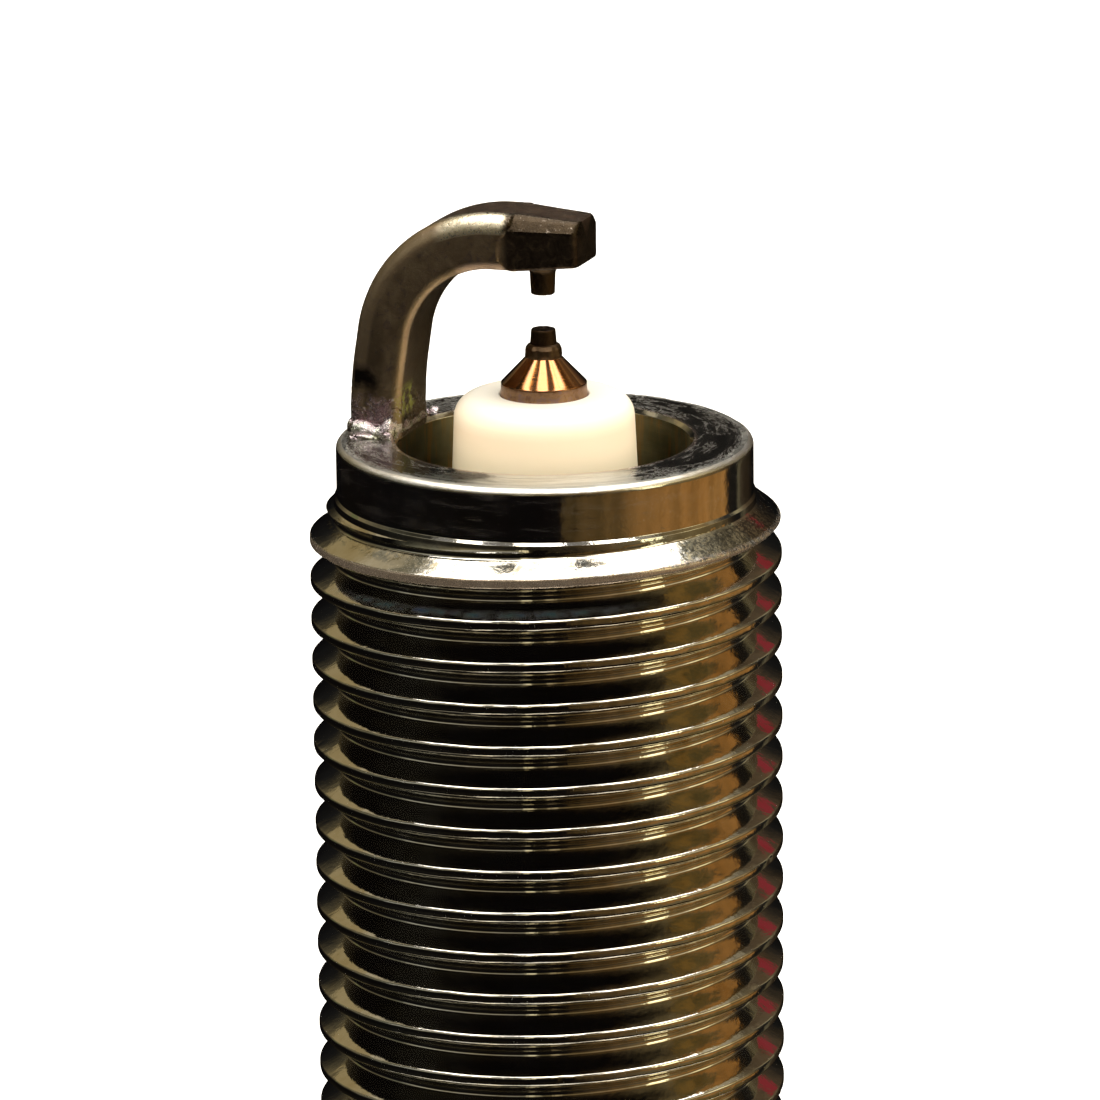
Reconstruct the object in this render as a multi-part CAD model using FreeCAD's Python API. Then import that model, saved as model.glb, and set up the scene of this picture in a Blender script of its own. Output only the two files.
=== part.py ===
# Spark plug for a four-stroke motorcycle engine: M14 x 1.25 thread, 26.5 mm reach,
# flat gasket seat, 16 mm hexagon, resistor, fine-wire centre and ground electrodes.
# Millimetres. +Z points towards the firing end, the origin is the centre of the shell's
# gasket seat, and the ground electrode's leg stands on the -X side.
# "Top" is a feature's +Z end, "foot" its -Z end.
import FreeCAD, Part
import math
import os

Vector = FreeCAD.Vector
ORIGIN = Vector(0, 0, 0)
PLUG_AXIS = Vector(0, 0, 1)
# how far the middle of a quarter-circle rounding lies inside each side, per unit radius
ARC_INSET = 1 - math.sqrt(0.5)

os.makedirs("parts", exist_ok=True)

# ---------------------------------------------------------------- driving dimensions
# shell and mounting thread
REACH = 26.5                  # seat to the rim of the firing end
THREAD_CREST_R = 6.96         # M14, 6g
THREAD_ROOT_R = 6.22
THREAD_CUT_R = 7.12           # outer radius of the groove cutter
THREAD_PITCH = 1.25
THREAD_CREST_LAND = 0.20      # axial width of the crest
THREAD_CREST_Z0 = 25.4316     # height of the crest's helix at +X, modulo one pitch
PILOT_R = 6.14
PILOT_EDGE = 0.22             # rounding of the rim's outer edge
PILOT_FOOT_Z = 24.93          # where the 45 degree thread chamfer meets the pilot
RELIEF_R = 6.15               # undercut that the gasket floats in
RELIEF_TOP_Z = 2.70
FIRING_BORE_R = 4.28
FIRING_BORE_EDGE = 0.12       # rounding of the rim's inner edge
FIRING_BORE_FLOOR_Z = 14.0
LEDGE_R = 3.75
LEDGE_TOP_Z = 13.5
LEDGE_FOOT_Z = 11.6
MID_BORE_R = 4.55
MID_BORE_TOP_Z = 10.9
MID_BORE_FOOT_Z = -0.6
BIG_BORE_R = 6.40
BIG_BORE_TOP_Z = -1.9
FLANGE_R = 9.45
FLANGE_T = 2.2
NECK_R = 7.45
HEX_AF = 16.0                 # across flats
HEX_TOP_Z = -3.9
HEX_FOOT_Z = -12.1
HEX_FACE_R = HEX_AF / 2 - 0.25    # flat end face inside the turned chamfer
HEX_CHAMFER = math.radians(30)
LIP_R = 7.25
LIP_END_Z = -13.95

# ground electrode (strap)
STRAP_W = 2.55
STRAP_T = 1.65
STRAP_FOOT_X = 4.10           # inner face at the rim, measured from the axis
STRAP_FOOT_DROP = 0.6         # swept this far below the rim, then cut flush
STRAP_LEAN = math.radians(9.0)
STRAP_FOOT_STRAIGHT_Z = 27.0  # the leg is upright up to here, then leans inwards
STRAP_LEAN_R = 11.0
STRAP_BEND_R = 2.70           # inner face
STRAP_UNDER_Z = 31.70         # underside of the arm
STRAP_TOP_Z = STRAP_UNDER_Z + STRAP_T
STRAP_END_X = 1.38            # the arm's end, beyond the axis
STRAP_OUTER_ROUND = 0.50
STRAP_INNER_ROUND = 0.28
PAD_START_X = -0.90
PAD_UNDER_START_X = PAD_START_X + 0.35
PAD_TOP_START_X = PAD_START_X + 0.25
PAD_HALF_W0 = 1.22            # at the pad's start
PAD_HALF_W1 = 1.00            # at the clipped corners
PAD_CORNER = 0.21
PAD_BEVEL = 0.30              # along the top of both pressed sides
PAD_UNDER_RISE = 0.09         # slope of the pressed underside, per mm towards the end
PAD_TOP_FALL = 0.075
FLASH_H = 0.60                # weld flash around the strap's foot
FLASH_OUT = 0.22              # beyond the strap's outer face
FLASH_IN = 0.30               # beyond its inner face
FLASH_SIDE = 0.25             # beyond each side
FLASH_SIDE_ROUND = 0.24
FLASH_TOP_ROUND = 0.22

# precious-metal tips
PIN_ROOT_Z = STRAP_UNDER_Z - PAD_UNDER_RISE * PAD_UNDER_START_X   # pad's underside on the axis
PIN_TAPER_Z = PIN_ROOT_Z - 0.12   # the pin tapers below here
PIN_R_TOP = 0.39
PIN_R_END = 0.355
PIN_END_Z = 30.85
PIN_EDGE = 0.06
PIN_SOCKET_Z = PIN_ROOT_Z + 0.25
TIP_TOP_Z = 29.80
TIP_R_TOP = 0.360
TIP_R_BASE = 0.437
TIP_EDGE = 0.05
TIP_SOCKET_Z = 28.75
BEAD_FOOT_Z = 28.97
BEAD_TOP_Z = 29.33
BEAD_R = 0.535

# centre electrode
CE_R = 1.265
CE_RIM_Z = 28.20
CE_CORE_R = 0.72
CE_CORE_FOOT_Z = 8.2
CE_CORE_TOP_Z = 26.6
CE_HEAD_R = 1.72
CE_STEM_R = CE_HEAD_R - 0.30  # below the head
CE_FOOT_Z = 7.6

# insulator
INS_TOP_Z = 27.85
INS_TOP_R = 2.63
INS_TOP_ROUND = 0.72
INS_NOSE_FOOT_R = 3.30
INS_NOSE_FOOT_Z = 12.2
INS_BODY_R = 4.38
INS_BARREL_R = 6.30
INS_BARREL_TOP_Z = -2.35
INS_BARREL_FOOT_Z = -6.4
INS_HEAD_R = 5.25
INS_HEAD_TOP_Z = -7.45
INS_END_Z = -41.3
INS_BORE_R = 1.305
INS_BORE_STEP_Z = 11.0
INS_WIDE_BORE_R = 1.95
RIB_COUNT = 5
RIB_FIRST_Z = -20.5
RIB_PITCH = 3.3
RIB_DEPTH = 0.55
RIB_GROOVE_W = RIB_PITCH * 0.62

# packing
WASHER_T = 0.25
WASHER_START = 0.106          # along the ledge's cone, from its narrow end
WASHER_STOP = 0.95
WIRE_R = 0.50
LOWER_WIRE_Z = -8.00
UPPER_WIRE_Z = -12.55
WIRE_RING_R = 0.5 * (INS_HEAD_R + BIG_BORE_R)

# conducting stack
GLASS1_TOP_Z = 9.0
GLASS1_FOOT_Z = 4.6
RESISTOR_FOOT_Z = -5.4
GLASS2_FOOT_Z = -10.4
STUD_TIP_Z = -6.6
STUD_TIP_CHAMFER = 0.45
STUD_R = 1.50
KNURL_R = 1.75
KNURL_DEPTH = 0.22
KNURL_PITCH = 0.80
KNURL_COUNT = 6
STUD_FLANGE_R = 2.75
STUD_FLANGE_T = 1.0
STUD_FLANGE_EDGE = 0.12
STUD_FLANGE_FOOT_Z = INS_END_Z - STUD_FLANGE_T
STUD_NECK_R = 1.55            # between the flange and the M4 thread
M4_CREST_R = 1.97
M4_ROOT_R = 1.58
M4_CUT_R = 2.03               # outer radius of the groove cutter
M4_CREST_LAND = 0.11
M4_PITCH = 0.70
M4_TOP_Z = -43.0
M4_END_Z = -49.7

# terminal nut
NUT_R = 3.175                 # 6.35 mm connector post
NUT_WAIST_R = NUT_R - 0.62    # at both ends of the waist's arc
NUT_BORE_R = 2.03
NUT_SEAT_Z = -42.35
NUT_END_Z = -50.5

# gasket
GASKET_T = 0.32               # sheet thickness
GASKET_H = 2.0
GASKET_IN_R = 6.70
GASKET_OUT_R = 9.60


# ---------------------------------------------------------------- helpers
def save(shape, name, merge_faces=True):
    """Write one piece; the merged faces are kept only where they leave a valid shape."""
    merged = shape.removeSplitter() if merge_faces else shape
    piece = merged if merged.isValid() else shape
    piece.exportStep(f"parts/{name}.step")


def trace(points, place):
    """Edges through 2D points put in space by place(a, b).

    An entry (a, b) ends a line; (a, b, am, bm) ends an arc through (am, bm).
    """
    edges = []
    start = place(*points[0])
    for point in points[1:]:
        end = place(*point[:2])
        if len(point) == 4:
            curve = Part.Arc(start, place(*point[2:]), end)
        else:
            curve = Part.LineSegment(start, end)
        edges.append(curve.toShape())
        start = end
    return edges


def on_xz(x, z):
    return Vector(x, 0, z)


def lathe(points):
    """Full turn of an (r, z) outline, with arcs as in trace; it is closed if left open."""
    if points[-1][:2] != points[0][:2]:
        points = points + [points[0][:2]]
    face = Part.Face(Part.Wire(trace(points, on_xz)))
    return face.revolve(ORIGIN, PLUG_AXIS, 360)


def tube(r_in, r_out, z0, z1):
    return lathe([(r_in, z0), (r_out, z0), (r_out, z1), (r_in, z1)])


def prism(corners, direction):
    return Part.Face(Part.makePolygon(corners + [corners[0]])).extrude(direction)


def groove_cutter(pitch, z_start, turns, r_root, r_crest, crest_land, r_out):
    """Right-handed 60 degree helical groove; z_start is the groove's middle at +X."""
    slope = math.tan(math.radians(30))
    half_crest = 0.5 * (pitch - crest_land)
    half_root = half_crest - (r_crest - r_root) * slope
    # neighbouring turns must not touch
    half_out = min(half_crest + (r_out - r_crest) * slope, 0.5 * pitch - 0.01)
    helix = Part.makeLongHelix(pitch, pitch * turns, r_root, 0, False)
    helix.translate(Vector(0, 0, z_start))
    corners = [
        Vector(r_root, 0, z_start - half_root),
        Vector(r_out, 0, z_start - half_out),
        Vector(r_out, 0, z_start + half_out),
        Vector(r_root, 0, z_start + half_root),
    ]
    section = Part.makePolygon(corners + [corners[0]])
    return Part.Wire(helix.Edges).makePipeShell([section], True, True)


# ---------------------------------------------------------------- shell
def build_shell_body():
    edge_inset = PILOT_EDGE * ARC_INSET
    return lathe([
        # rim, pilot and thread blank
        (FIRING_BORE_R + FIRING_BORE_EDGE, REACH),
        (PILOT_R - PILOT_EDGE, REACH),
        (PILOT_R, REACH - PILOT_EDGE, PILOT_R - edge_inset, REACH - edge_inset),
        (PILOT_R, PILOT_FOOT_Z),
        (THREAD_CREST_R, PILOT_FOOT_Z - (THREAD_CREST_R - PILOT_R)),
        (THREAD_CREST_R, RELIEF_TOP_Z + 0.60),
        # relief, seat and flange
        (RELIEF_R, RELIEF_TOP_Z),
        (RELIEF_R, 0.0),
        (FLANGE_R - 0.25, 0.0),
        (FLANGE_R, -0.25),
        (FLANGE_R, -FLANGE_T + 0.35),
        (FLANGE_R - 0.6, -FLANGE_T),
        # neck and the round core of the hexagon
        (NECK_R + 0.35, -FLANGE_T - 0.12),
        (NECK_R, -FLANGE_T - 0.47, NECK_R + 0.10, -FLANGE_T - 0.22),
        (NECK_R, HEX_TOP_Z + 0.30),
        (NECK_R + 0.30, HEX_TOP_Z, NECK_R + 0.09, HEX_TOP_Z + 0.09),
        (NECK_R + 0.30, HEX_FOOT_Z),
        # lip, curling inwards below the upper packing ring
        (LIP_R, HEX_FOOT_Z),
        (LIP_R, -12.75),
        (6.15, LIP_END_Z, 7.00, -13.60),
        (5.62, -13.72),
        (5.48, -13.42),
        (5.62, -13.16),
        (6.00, -13.14),
        (BIG_BORE_R, -12.70, 6.31, -13.02),
        # up the stepped bore
        (BIG_BORE_R, BIG_BORE_TOP_Z),
        (MID_BORE_R, MID_BORE_FOOT_Z),
        (MID_BORE_R, MID_BORE_TOP_Z),
        (LEDGE_R, LEDGE_FOOT_Z),
        (LEDGE_R, LEDGE_TOP_Z),
        (FIRING_BORE_R, FIRING_BORE_FLOOR_Z),
        (FIRING_BORE_R, REACH - FIRING_BORE_EDGE),
        (FIRING_BORE_R + FIRING_BORE_EDGE, REACH, FIRING_BORE_R + 0.035, REACH - 0.035),
    ])


def build_shell_groove():
    """Thread groove, running out through the pilot's chamfer and into the relief."""
    groove_z = THREAD_CREST_Z0 + 0.5 * THREAD_PITCH
    pitches_down = math.floor((groove_z - (RELIEF_TOP_Z - 0.9)) / THREAD_PITCH)
    z_low = groove_z - pitches_down * THREAD_PITCH
    turns = math.ceil((PILOT_FOOT_Z + 1.2 - z_low) / THREAD_PITCH)
    return groove_cutter(THREAD_PITCH, z_low, turns, THREAD_ROOT_R, THREAD_CREST_R,
                         THREAD_CREST_LAND, THREAD_CUT_R)


def build_hexagon():
    """Hexagon with both ends turned to a chamfer, hollowed out to the neck's radius."""
    corner_r = HEX_AF / math.sqrt(3.0)
    corners = []
    for i in range(6):
        angle = math.radians(60 * i)
        corners.append(Vector(corner_r * math.cos(angle), corner_r * math.sin(angle), HEX_FOOT_Z))
    hexagon = prism(corners, Vector(0, 0, HEX_TOP_Z - HEX_FOOT_Z))
    rise = (corner_r - HEX_FACE_R) * math.tan(HEX_CHAMFER)
    turned = lathe([
        (0.0, HEX_FOOT_Z), (HEX_FACE_R, HEX_FOOT_Z), (corner_r, HEX_FOOT_Z + rise),
        (corner_r, HEX_TOP_Z - rise), (HEX_FACE_R, HEX_TOP_Z), (0.0, HEX_TOP_Z)])
    return hexagon.common(turned).cut(tube(0.0, NECK_R, HEX_FOOT_Z - 1, HEX_TOP_Z + 1))


def build_shell():
    return build_shell_body().cut(build_shell_groove()).fuse(build_hexagon())


# ---------------------------------------------------------------- ground electrode
def strap_section():
    """Rounded section at the leg's foot, as (outwards from the inner face, along Y)."""
    def place(outwards, y):
        return Vector(-STRAP_FOOT_X - outwards, y, REACH - STRAP_FOOT_DROP)

    half_w, thick = STRAP_W / 2, STRAP_T
    inner, outer = STRAP_INNER_ROUND, STRAP_OUTER_ROUND
    inner_inset, outer_inset = inner * ARC_INSET, outer * ARC_INSET
    return Part.Wire(trace([
        (0, -half_w + inner),
        (0, half_w - inner),
        (inner, half_w, inner_inset, half_w - inner_inset),
        (thick - outer, half_w),
        (thick, half_w - outer, thick - outer_inset, half_w - outer_inset),
        (thick, -half_w + outer),
        (thick - outer, -half_w, thick - outer_inset, -half_w + outer_inset),
        (inner, -half_w),
        (0, -half_w + inner, inner_inset, -half_w + inner_inset),
    ], place))


def strap_path():
    """Inner face of the strap on XZ: upright foot, slow lean, straight, bend, arm."""
    def lean_point(angle):
        return (-(STRAP_FOOT_X - STRAP_LEAN_R * (1 - math.cos(angle))),
                STRAP_FOOT_STRAIGHT_Z + STRAP_LEAN_R * math.sin(angle))

    def bend_point(angle):
        return (bend_x - STRAP_BEND_R * math.cos(angle), bend_z + STRAP_BEND_R * math.sin(angle))

    lean_end_x, lean_end_z = lean_point(STRAP_LEAN)
    # centre of the bend, tangent to the leaning leg and to the arm
    bend_z = STRAP_UNDER_Z - STRAP_BEND_R
    bend_start_z = bend_z + STRAP_BEND_R * math.sin(STRAP_LEAN)
    bend_start_x = lean_end_x + math.tan(STRAP_LEAN) * (bend_start_z - lean_end_z)
    bend_x = bend_start_x + STRAP_BEND_R * math.cos(STRAP_LEAN)
    return Part.Wire(trace([
        (-STRAP_FOOT_X, REACH - STRAP_FOOT_DROP),
        (-STRAP_FOOT_X, STRAP_FOOT_STRAIGHT_Z),
        (lean_end_x, lean_end_z, *lean_point(STRAP_LEAN / 2)),
        (bend_start_x, bend_start_z),
        (bend_x, STRAP_UNDER_Z, *bend_point((STRAP_LEAN + math.pi / 2) / 2)),
        (STRAP_END_X, STRAP_UNDER_Z),
    ], on_xz))


def pad_mask():
    """Plan of the strap: full width up to the pad, which narrows to clipped corners."""
    half = [
        (-9, -3), (PAD_START_X, -3), (PAD_START_X, -PAD_HALF_W0),
        (STRAP_END_X - PAD_CORNER, -PAD_HALF_W1), (STRAP_END_X, -PAD_HALF_W1 + PAD_CORNER)]
    plan = half + [(x, -y) for x, y in reversed(half)]
    return prism([Vector(x, y, REACH - 1) for x, y in plan], Vector(0, 0, 10))


def sloping_block(x0, z0, slope, side):
    """Large block bounded by the slope through (x0, z0); side +1 is above it, -1 below."""
    size = 6.0
    corners = [
        Vector(x0, -4, z0), Vector(x0 + size, -4, z0 + slope * size),
        Vector(x0 + size, -4, z0 + side * size), Vector(x0, -4, z0 + side * size)]
    return prism(corners, Vector(0, 8, 0))


def bevel_cutter(side):
    """Triangular bar along the top edge of one pressed side; side is the sign of Y."""
    length = 4.0
    beyond = 0.6
    draw_in = (PAD_HALF_W0 - PAD_HALF_W1) / (STRAP_END_X - PAD_CORNER - PAD_START_X)
    triangle = [
        (PAD_HALF_W0 - PAD_BEVEL - beyond, STRAP_TOP_Z + beyond),
        (PAD_HALF_W0 + beyond, STRAP_TOP_Z - PAD_BEVEL - beyond),
        (PAD_HALF_W0 + beyond, STRAP_TOP_Z + beyond)]
    return prism([Vector(PAD_START_X, side * y, z) for y, z in triangle],
                 Vector(length, -side * draw_in * length, -PAD_TOP_FALL * length))


def build_strap():
    bar = strap_path().makePipeShell([strap_section()], True, False)
    # the foot stands on the rim
    bar = bar.cut(Part.makeBox(12, 12, 4, Vector(-9, -6, REACH - 4)))
    bar = bar.common(pad_mask())
    # pressed a little thinner towards the end, below and above
    bar = bar.cut(sloping_block(PAD_UNDER_START_X, STRAP_UNDER_Z, PAD_UNDER_RISE, -1))
    bar = bar.cut(sloping_block(PAD_TOP_START_X, STRAP_TOP_Z, -PAD_TOP_FALL, 1))
    for side in (1, -1):
        bar = bar.cut(bevel_cutter(side))
    # blind socket for the precious-metal pin
    return bar.cut(tube(0.0, PIN_R_TOP, STRAP_UNDER_Z - 1.0, PIN_SOCKET_Z))


def build_flash(strap):
    """Upset metal squeezed out around the foot of the strap."""
    skirt = Part.makeBox(
        STRAP_T + FLASH_OUT + FLASH_IN, STRAP_W + 2 * FLASH_SIDE, FLASH_H,
        Vector(-(STRAP_FOOT_X + STRAP_T + FLASH_OUT), -STRAP_W / 2 - FLASH_SIDE, REACH))
    upright = [e for e in skirt.Edges if abs(e.Vertexes[0].Z - e.Vertexes[1].Z) > 0.1]
    skirt = skirt.makeFillet(FLASH_SIDE_ROUND, upright)
    top = [e for e in skirt.Edges if min(v.Z for v in e.Vertexes) > REACH + FLASH_H - 0.01]
    skirt = skirt.makeFillet(FLASH_TOP_ROUND, top)
    # kept clear of the rim's rounded inner and outer edges
    rim = tube(FIRING_BORE_R + FIRING_BORE_EDGE + 0.01, PILOT_R - PILOT_EDGE - 0.01,
               REACH, REACH + FLASH_H)
    # the bore and the strap can part the skirt, so all of its solids are kept
    return Part.makeCompound(skirt.common(rim).cut(strap).Solids) if False else flash_solids(
        skirt, rim, strap)


def flash_solids(skirt, rim, strap):
    return Part.makeCompound(skirt.common(rim).cut(strap).Solids)


def build_pin():
    return lathe([
        (0.0, PIN_SOCKET_Z), (PIN_R_TOP, PIN_SOCKET_Z), (PIN_R_TOP, PIN_TAPER_Z),
        (PIN_R_END, PIN_END_Z + PIN_EDGE),
        (PIN_R_END - PIN_EDGE, PIN_END_Z, PIN_R_END - 0.018, PIN_END_Z + 0.018),
        (0.0, PIN_END_Z)])


def build_pin_weld(strap):
    """Fillet of weld metal around the pin's root, cut by the sloping underside it meets."""
    top_z = PIN_ROOT_Z + 0.08
    fillet = lathe([
        (PIN_R_TOP, top_z), (PIN_R_TOP + 0.13, top_z), (PIN_R_TOP + 0.10, PIN_ROOT_Z - 0.06),
        (PIN_R_TOP + 0.012, PIN_TAPER_Z, PIN_R_TOP + 0.04, PIN_TAPER_Z + 0.025),
        (PIN_R_TOP, PIN_TAPER_Z)])
    return fillet.cut(strap)


# ---------------------------------------------------------------- insulator
def build_insulator():
    round_inset = INS_TOP_ROUND * ARC_INSET
    outline = [
        (INS_BORE_R, INS_TOP_Z),
        (INS_TOP_R - INS_TOP_ROUND, INS_TOP_Z),
        (INS_TOP_R, INS_TOP_Z - INS_TOP_ROUND, INS_TOP_R - round_inset, INS_TOP_Z - round_inset),
        (INS_NOSE_FOOT_R, INS_NOSE_FOOT_Z),
        # shoulder under the shell's ledge
        (3.40, 11.574),
        (INS_BODY_R, 10.7165),
        (INS_BODY_R, -1.0),
        (INS_BARREL_R, INS_BARREL_TOP_Z),
        (INS_BARREL_R, INS_BARREL_FOOT_Z),
        (INS_HEAD_R, INS_HEAD_TOP_Z),
    ]
    z = RIB_FIRST_Z + RIB_PITCH / 2
    outline.append((INS_HEAD_R, z))
    for _ in range(RIB_COUNT):
        # a shallow rounded groove, then a land
        outline += [
            (INS_HEAD_R, z - RIB_GROOVE_W, INS_HEAD_R - RIB_DEPTH, z - RIB_GROOVE_W / 2),
            (INS_HEAD_R, z - RIB_PITCH)]
        z -= RIB_PITCH
    outline += [
        (INS_HEAD_R - 0.25, z - 0.30),
        (INS_HEAD_R - 1.05, INS_END_Z + 0.90),
        (INS_HEAD_R - 1.60, INS_END_Z, INS_HEAD_R - 1.18, INS_END_Z + 0.28),
        (INS_WIDE_BORE_R + 0.15, INS_END_Z),
        (INS_WIDE_BORE_R, INS_END_Z + 0.15),
        (INS_WIDE_BORE_R, INS_BORE_STEP_Z - 0.65),
        (INS_BORE_R, INS_BORE_STEP_Z),
    ]
    return lathe(outline)


# ---------------------------------------------------------------- centre electrode
def build_core():
    return tube(0.0, CE_CORE_R, CE_CORE_FOOT_Z, CE_CORE_TOP_Z)


def build_sheath():
    """Outer metal of the centre electrode, hollow for the core and socketed for the tip."""
    blank = lathe([
        (0.0, CE_FOOT_Z),
        (CE_STEM_R - 0.25, CE_FOOT_Z),
        (CE_STEM_R, CE_FOOT_Z + 0.25),
        (CE_STEM_R, 9.15),
        (CE_HEAD_R, 9.40),
        (CE_HEAD_R, 10.42),
        (CE_R, INS_BORE_STEP_Z - 0.07),
        (CE_R, CE_RIM_Z),
        (BEAD_R, BEAD_FOOT_Z),
        (0.0, BEAD_FOOT_Z),
    ])
    socket = tube(0.0, TIP_R_BASE, TIP_SOCKET_Z, BEAD_FOOT_Z + 1)
    return blank.cut(build_core()).cut(socket)


def tip_radius(z):
    taper = (TIP_R_TOP - TIP_R_BASE) / (TIP_TOP_Z - BEAD_FOOT_Z)
    return TIP_R_BASE + taper * (z - BEAD_FOOT_Z)


def build_tip():
    edge_z = TIP_TOP_Z - TIP_EDGE
    return lathe([
        (0.0, TIP_SOCKET_Z), (TIP_R_BASE, TIP_SOCKET_Z), (TIP_R_BASE, BEAD_FOOT_Z),
        (tip_radius(edge_z), edge_z),
        (TIP_R_TOP - TIP_EDGE, TIP_TOP_Z, TIP_R_TOP - 0.015, TIP_TOP_Z - 0.015),
        (0.0, TIP_TOP_Z)])


def build_bead():
    """Weld bead around the tip's base."""
    tip_r = tip_radius(BEAD_TOP_Z)
    return lathe([
        (TIP_R_BASE, BEAD_FOOT_Z), (BEAD_R, BEAD_FOOT_Z), (BEAD_R, BEAD_FOOT_Z + 0.14),
        (BEAD_R - 0.022, BEAD_FOOT_Z + 0.24), (BEAD_R - 0.062, BEAD_FOOT_Z + 0.31),
        (tip_r + 0.015, BEAD_TOP_Z), (tip_r, BEAD_TOP_Z)])


# ---------------------------------------------------------------- packing
def build_packing_washer():
    """Conical washer lying against the foot of the shell's ledge."""
    ledge = on_xz(LEDGE_R, LEDGE_FOOT_Z)
    along = (on_xz(MID_BORE_R, MID_BORE_TOP_Z) - ledge).normalize()
    thickness = Vector(along.z, 0, -along.x) * WASHER_T
    start = ledge + along * WASHER_START
    stop = ledge + along * WASHER_STOP
    return lathe([(p.x, p.z) for p in (start, stop, stop + thickness, start + thickness)])


def packing_ring(z):
    return Part.makeTorus(WIRE_RING_R, WIRE_R, Vector(0, 0, z), PLUG_AXIS)


def build_talc():
    body = tube(INS_HEAD_R, BIG_BORE_R, UPPER_WIRE_Z, LOWER_WIRE_Z)
    return body.cut(packing_ring(LOWER_WIRE_Z)).cut(packing_ring(UPPER_WIRE_Z))


# ---------------------------------------------------------------- conducting stack
def bore_filling(foot_z, top_z):
    return tube(0.0, INS_WIDE_BORE_R, foot_z, top_z)


def build_stud():
    z = STUD_TIP_Z - STUD_TIP_CHAMFER
    outline = [(0.0, STUD_TIP_Z), (KNURL_R - STUD_TIP_CHAMFER, STUD_TIP_Z), (KNURL_R, z)]
    # rolled rings that key the stud into the glass
    for _ in range(KNURL_COUNT):
        outline += [
            (KNURL_R, z - 0.35), (KNURL_R - KNURL_DEPTH, z - 0.50),
            (KNURL_R - KNURL_DEPTH, z - 0.65), (KNURL_R, z - KNURL_PITCH)]
        z -= KNURL_PITCH
    outline += [
        (KNURL_R, z - 0.3),
        (STUD_R, z - 0.6),
        (STUD_R, INS_END_Z),
        (STUD_FLANGE_R - STUD_FLANGE_EDGE, INS_END_Z),
        (STUD_FLANGE_R, INS_END_Z - STUD_FLANGE_EDGE),
        (STUD_FLANGE_R, STUD_FLANGE_FOOT_Z + STUD_FLANGE_EDGE),
        (STUD_FLANGE_R - STUD_FLANGE_EDGE, STUD_FLANGE_FOOT_Z),
        (STUD_NECK_R, STUD_FLANGE_FOOT_Z),
        (STUD_NECK_R, M4_TOP_Z),
        (M4_CREST_R, M4_TOP_Z - 0.40),
        (M4_CREST_R, M4_END_Z + 0.45),
        (1.50, M4_END_Z),
        (0.0, M4_END_Z)]
    turns = math.ceil((M4_TOP_Z - M4_END_Z + 1.0) / M4_PITCH) + 1
    groove = groove_cutter(M4_PITCH, M4_END_Z - 0.55, turns, M4_ROOT_R, M4_CREST_R,
                           M4_CREST_LAND, M4_CUT_R)
    # the groove stops short of the flange
    groove = groove.common(tube(1.0, 2.2, M4_END_Z - 2, STUD_FLANGE_FOOT_Z - 0.02))
    return lathe(outline).cut(groove)


def build_nut():
    return lathe([
        (NUT_BORE_R + 0.25, NUT_SEAT_Z),
        (NUT_R - 0.30, NUT_SEAT_Z),
        (NUT_R, NUT_SEAT_Z - 0.30),
        (NUT_R, -44.45),
        (NUT_R - 0.30, -44.75),
        (NUT_WAIST_R, -45.05),
        (NUT_WAIST_R, -46.55, NUT_R - 0.86, -45.80),
        (NUT_R - 0.15, -47.25),
        (NUT_R, -47.45),
        (NUT_R, -49.35),
        (NUT_R - 0.62, NUT_END_Z, NUT_R - 0.13, -50.05),
        (NUT_BORE_R + 0.22, NUT_END_Z),
        (NUT_BORE_R, NUT_END_Z + 0.22),
        (NUT_BORE_R, NUT_SEAT_Z - 0.25)])


# ---------------------------------------------------------------- gasket
def gasket_fold(centre_r, centre_z, outer_r, side):
    """Half-round fold of the sheet; side +1 bulges away from the axis, -1 towards it."""
    inner_r = outer_r - GASKET_T
    return lathe([
        (centre_r, centre_z - outer_r),
        (centre_r, centre_z + outer_r, centre_r + side * outer_r, centre_z),
        (centre_r, centre_z + inner_r),
        (centre_r, centre_z - inner_r, centre_r + side * inner_r, centre_z)])


def build_gasket():
    """Crush washer of three sheet layers joined by two folds.

    Its inner fold is smaller than the thread, so it can't drop off.
    """
    middle_z = (GASKET_H - GASKET_T) / 2
    top_z = GASKET_H - GASKET_T
    fold_r = (GASKET_H - middle_z) / 2
    inner_r = GASKET_IN_R + fold_r
    outer_r = GASKET_OUT_R - fold_r
    bottom = tube(GASKET_IN_R + 0.05, outer_r, 0.0, GASKET_T)
    outer = gasket_fold(outer_r, fold_r, fold_r, 1)
    middle = tube(inner_r, outer_r, middle_z, middle_z + GASKET_T)
    inner = gasket_fold(inner_r, middle_z + fold_r, fold_r, -1)
    top = tube(inner_r, GASKET_OUT_R - 0.30, top_z, GASKET_H)
    return bottom.fuse([outer, middle, inner, top]).removeSplitter()


# ---------------------------------------------------------------- pieces
strap = build_strap()
sheath = build_sheath()
core = build_core()
stud = build_stud()

# the threaded pieces keep their faces as cut
save(build_shell(), "shell", merge_faces=False)
save(strap, "ground_electrode")
save(build_flash(strap), "ground_electrode_weld_flash")
save(build_pin(), "ground_electrode_tip")
save(build_pin_weld(strap), "ground_tip_weld")
save(build_insulator(), "insulator")
save(sheath, "centre_electrode_sheath")
save(core, "centre_electrode_core")
save(build_tip(), "centre_electrode_tip")
save(build_bead(), "centre_tip_weld")
save(bore_filling(GLASS1_FOOT_Z, GLASS1_TOP_Z).cut(sheath).cut(core), "lower_glass_seal")
save(bore_filling(RESISTOR_FOOT_Z, GLASS1_FOOT_Z), "resistor")
save(bore_filling(GLASS2_FOOT_Z, RESISTOR_FOOT_Z).cut(stud), "upper_glass_seal")
save(stud, "terminal_stud", merge_faces=False)
save(build_nut(), "terminal_nut")
save(build_packing_washer(), "packing_washer")
save(packing_ring(LOWER_WIRE_Z), "lower_packing_ring")
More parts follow.
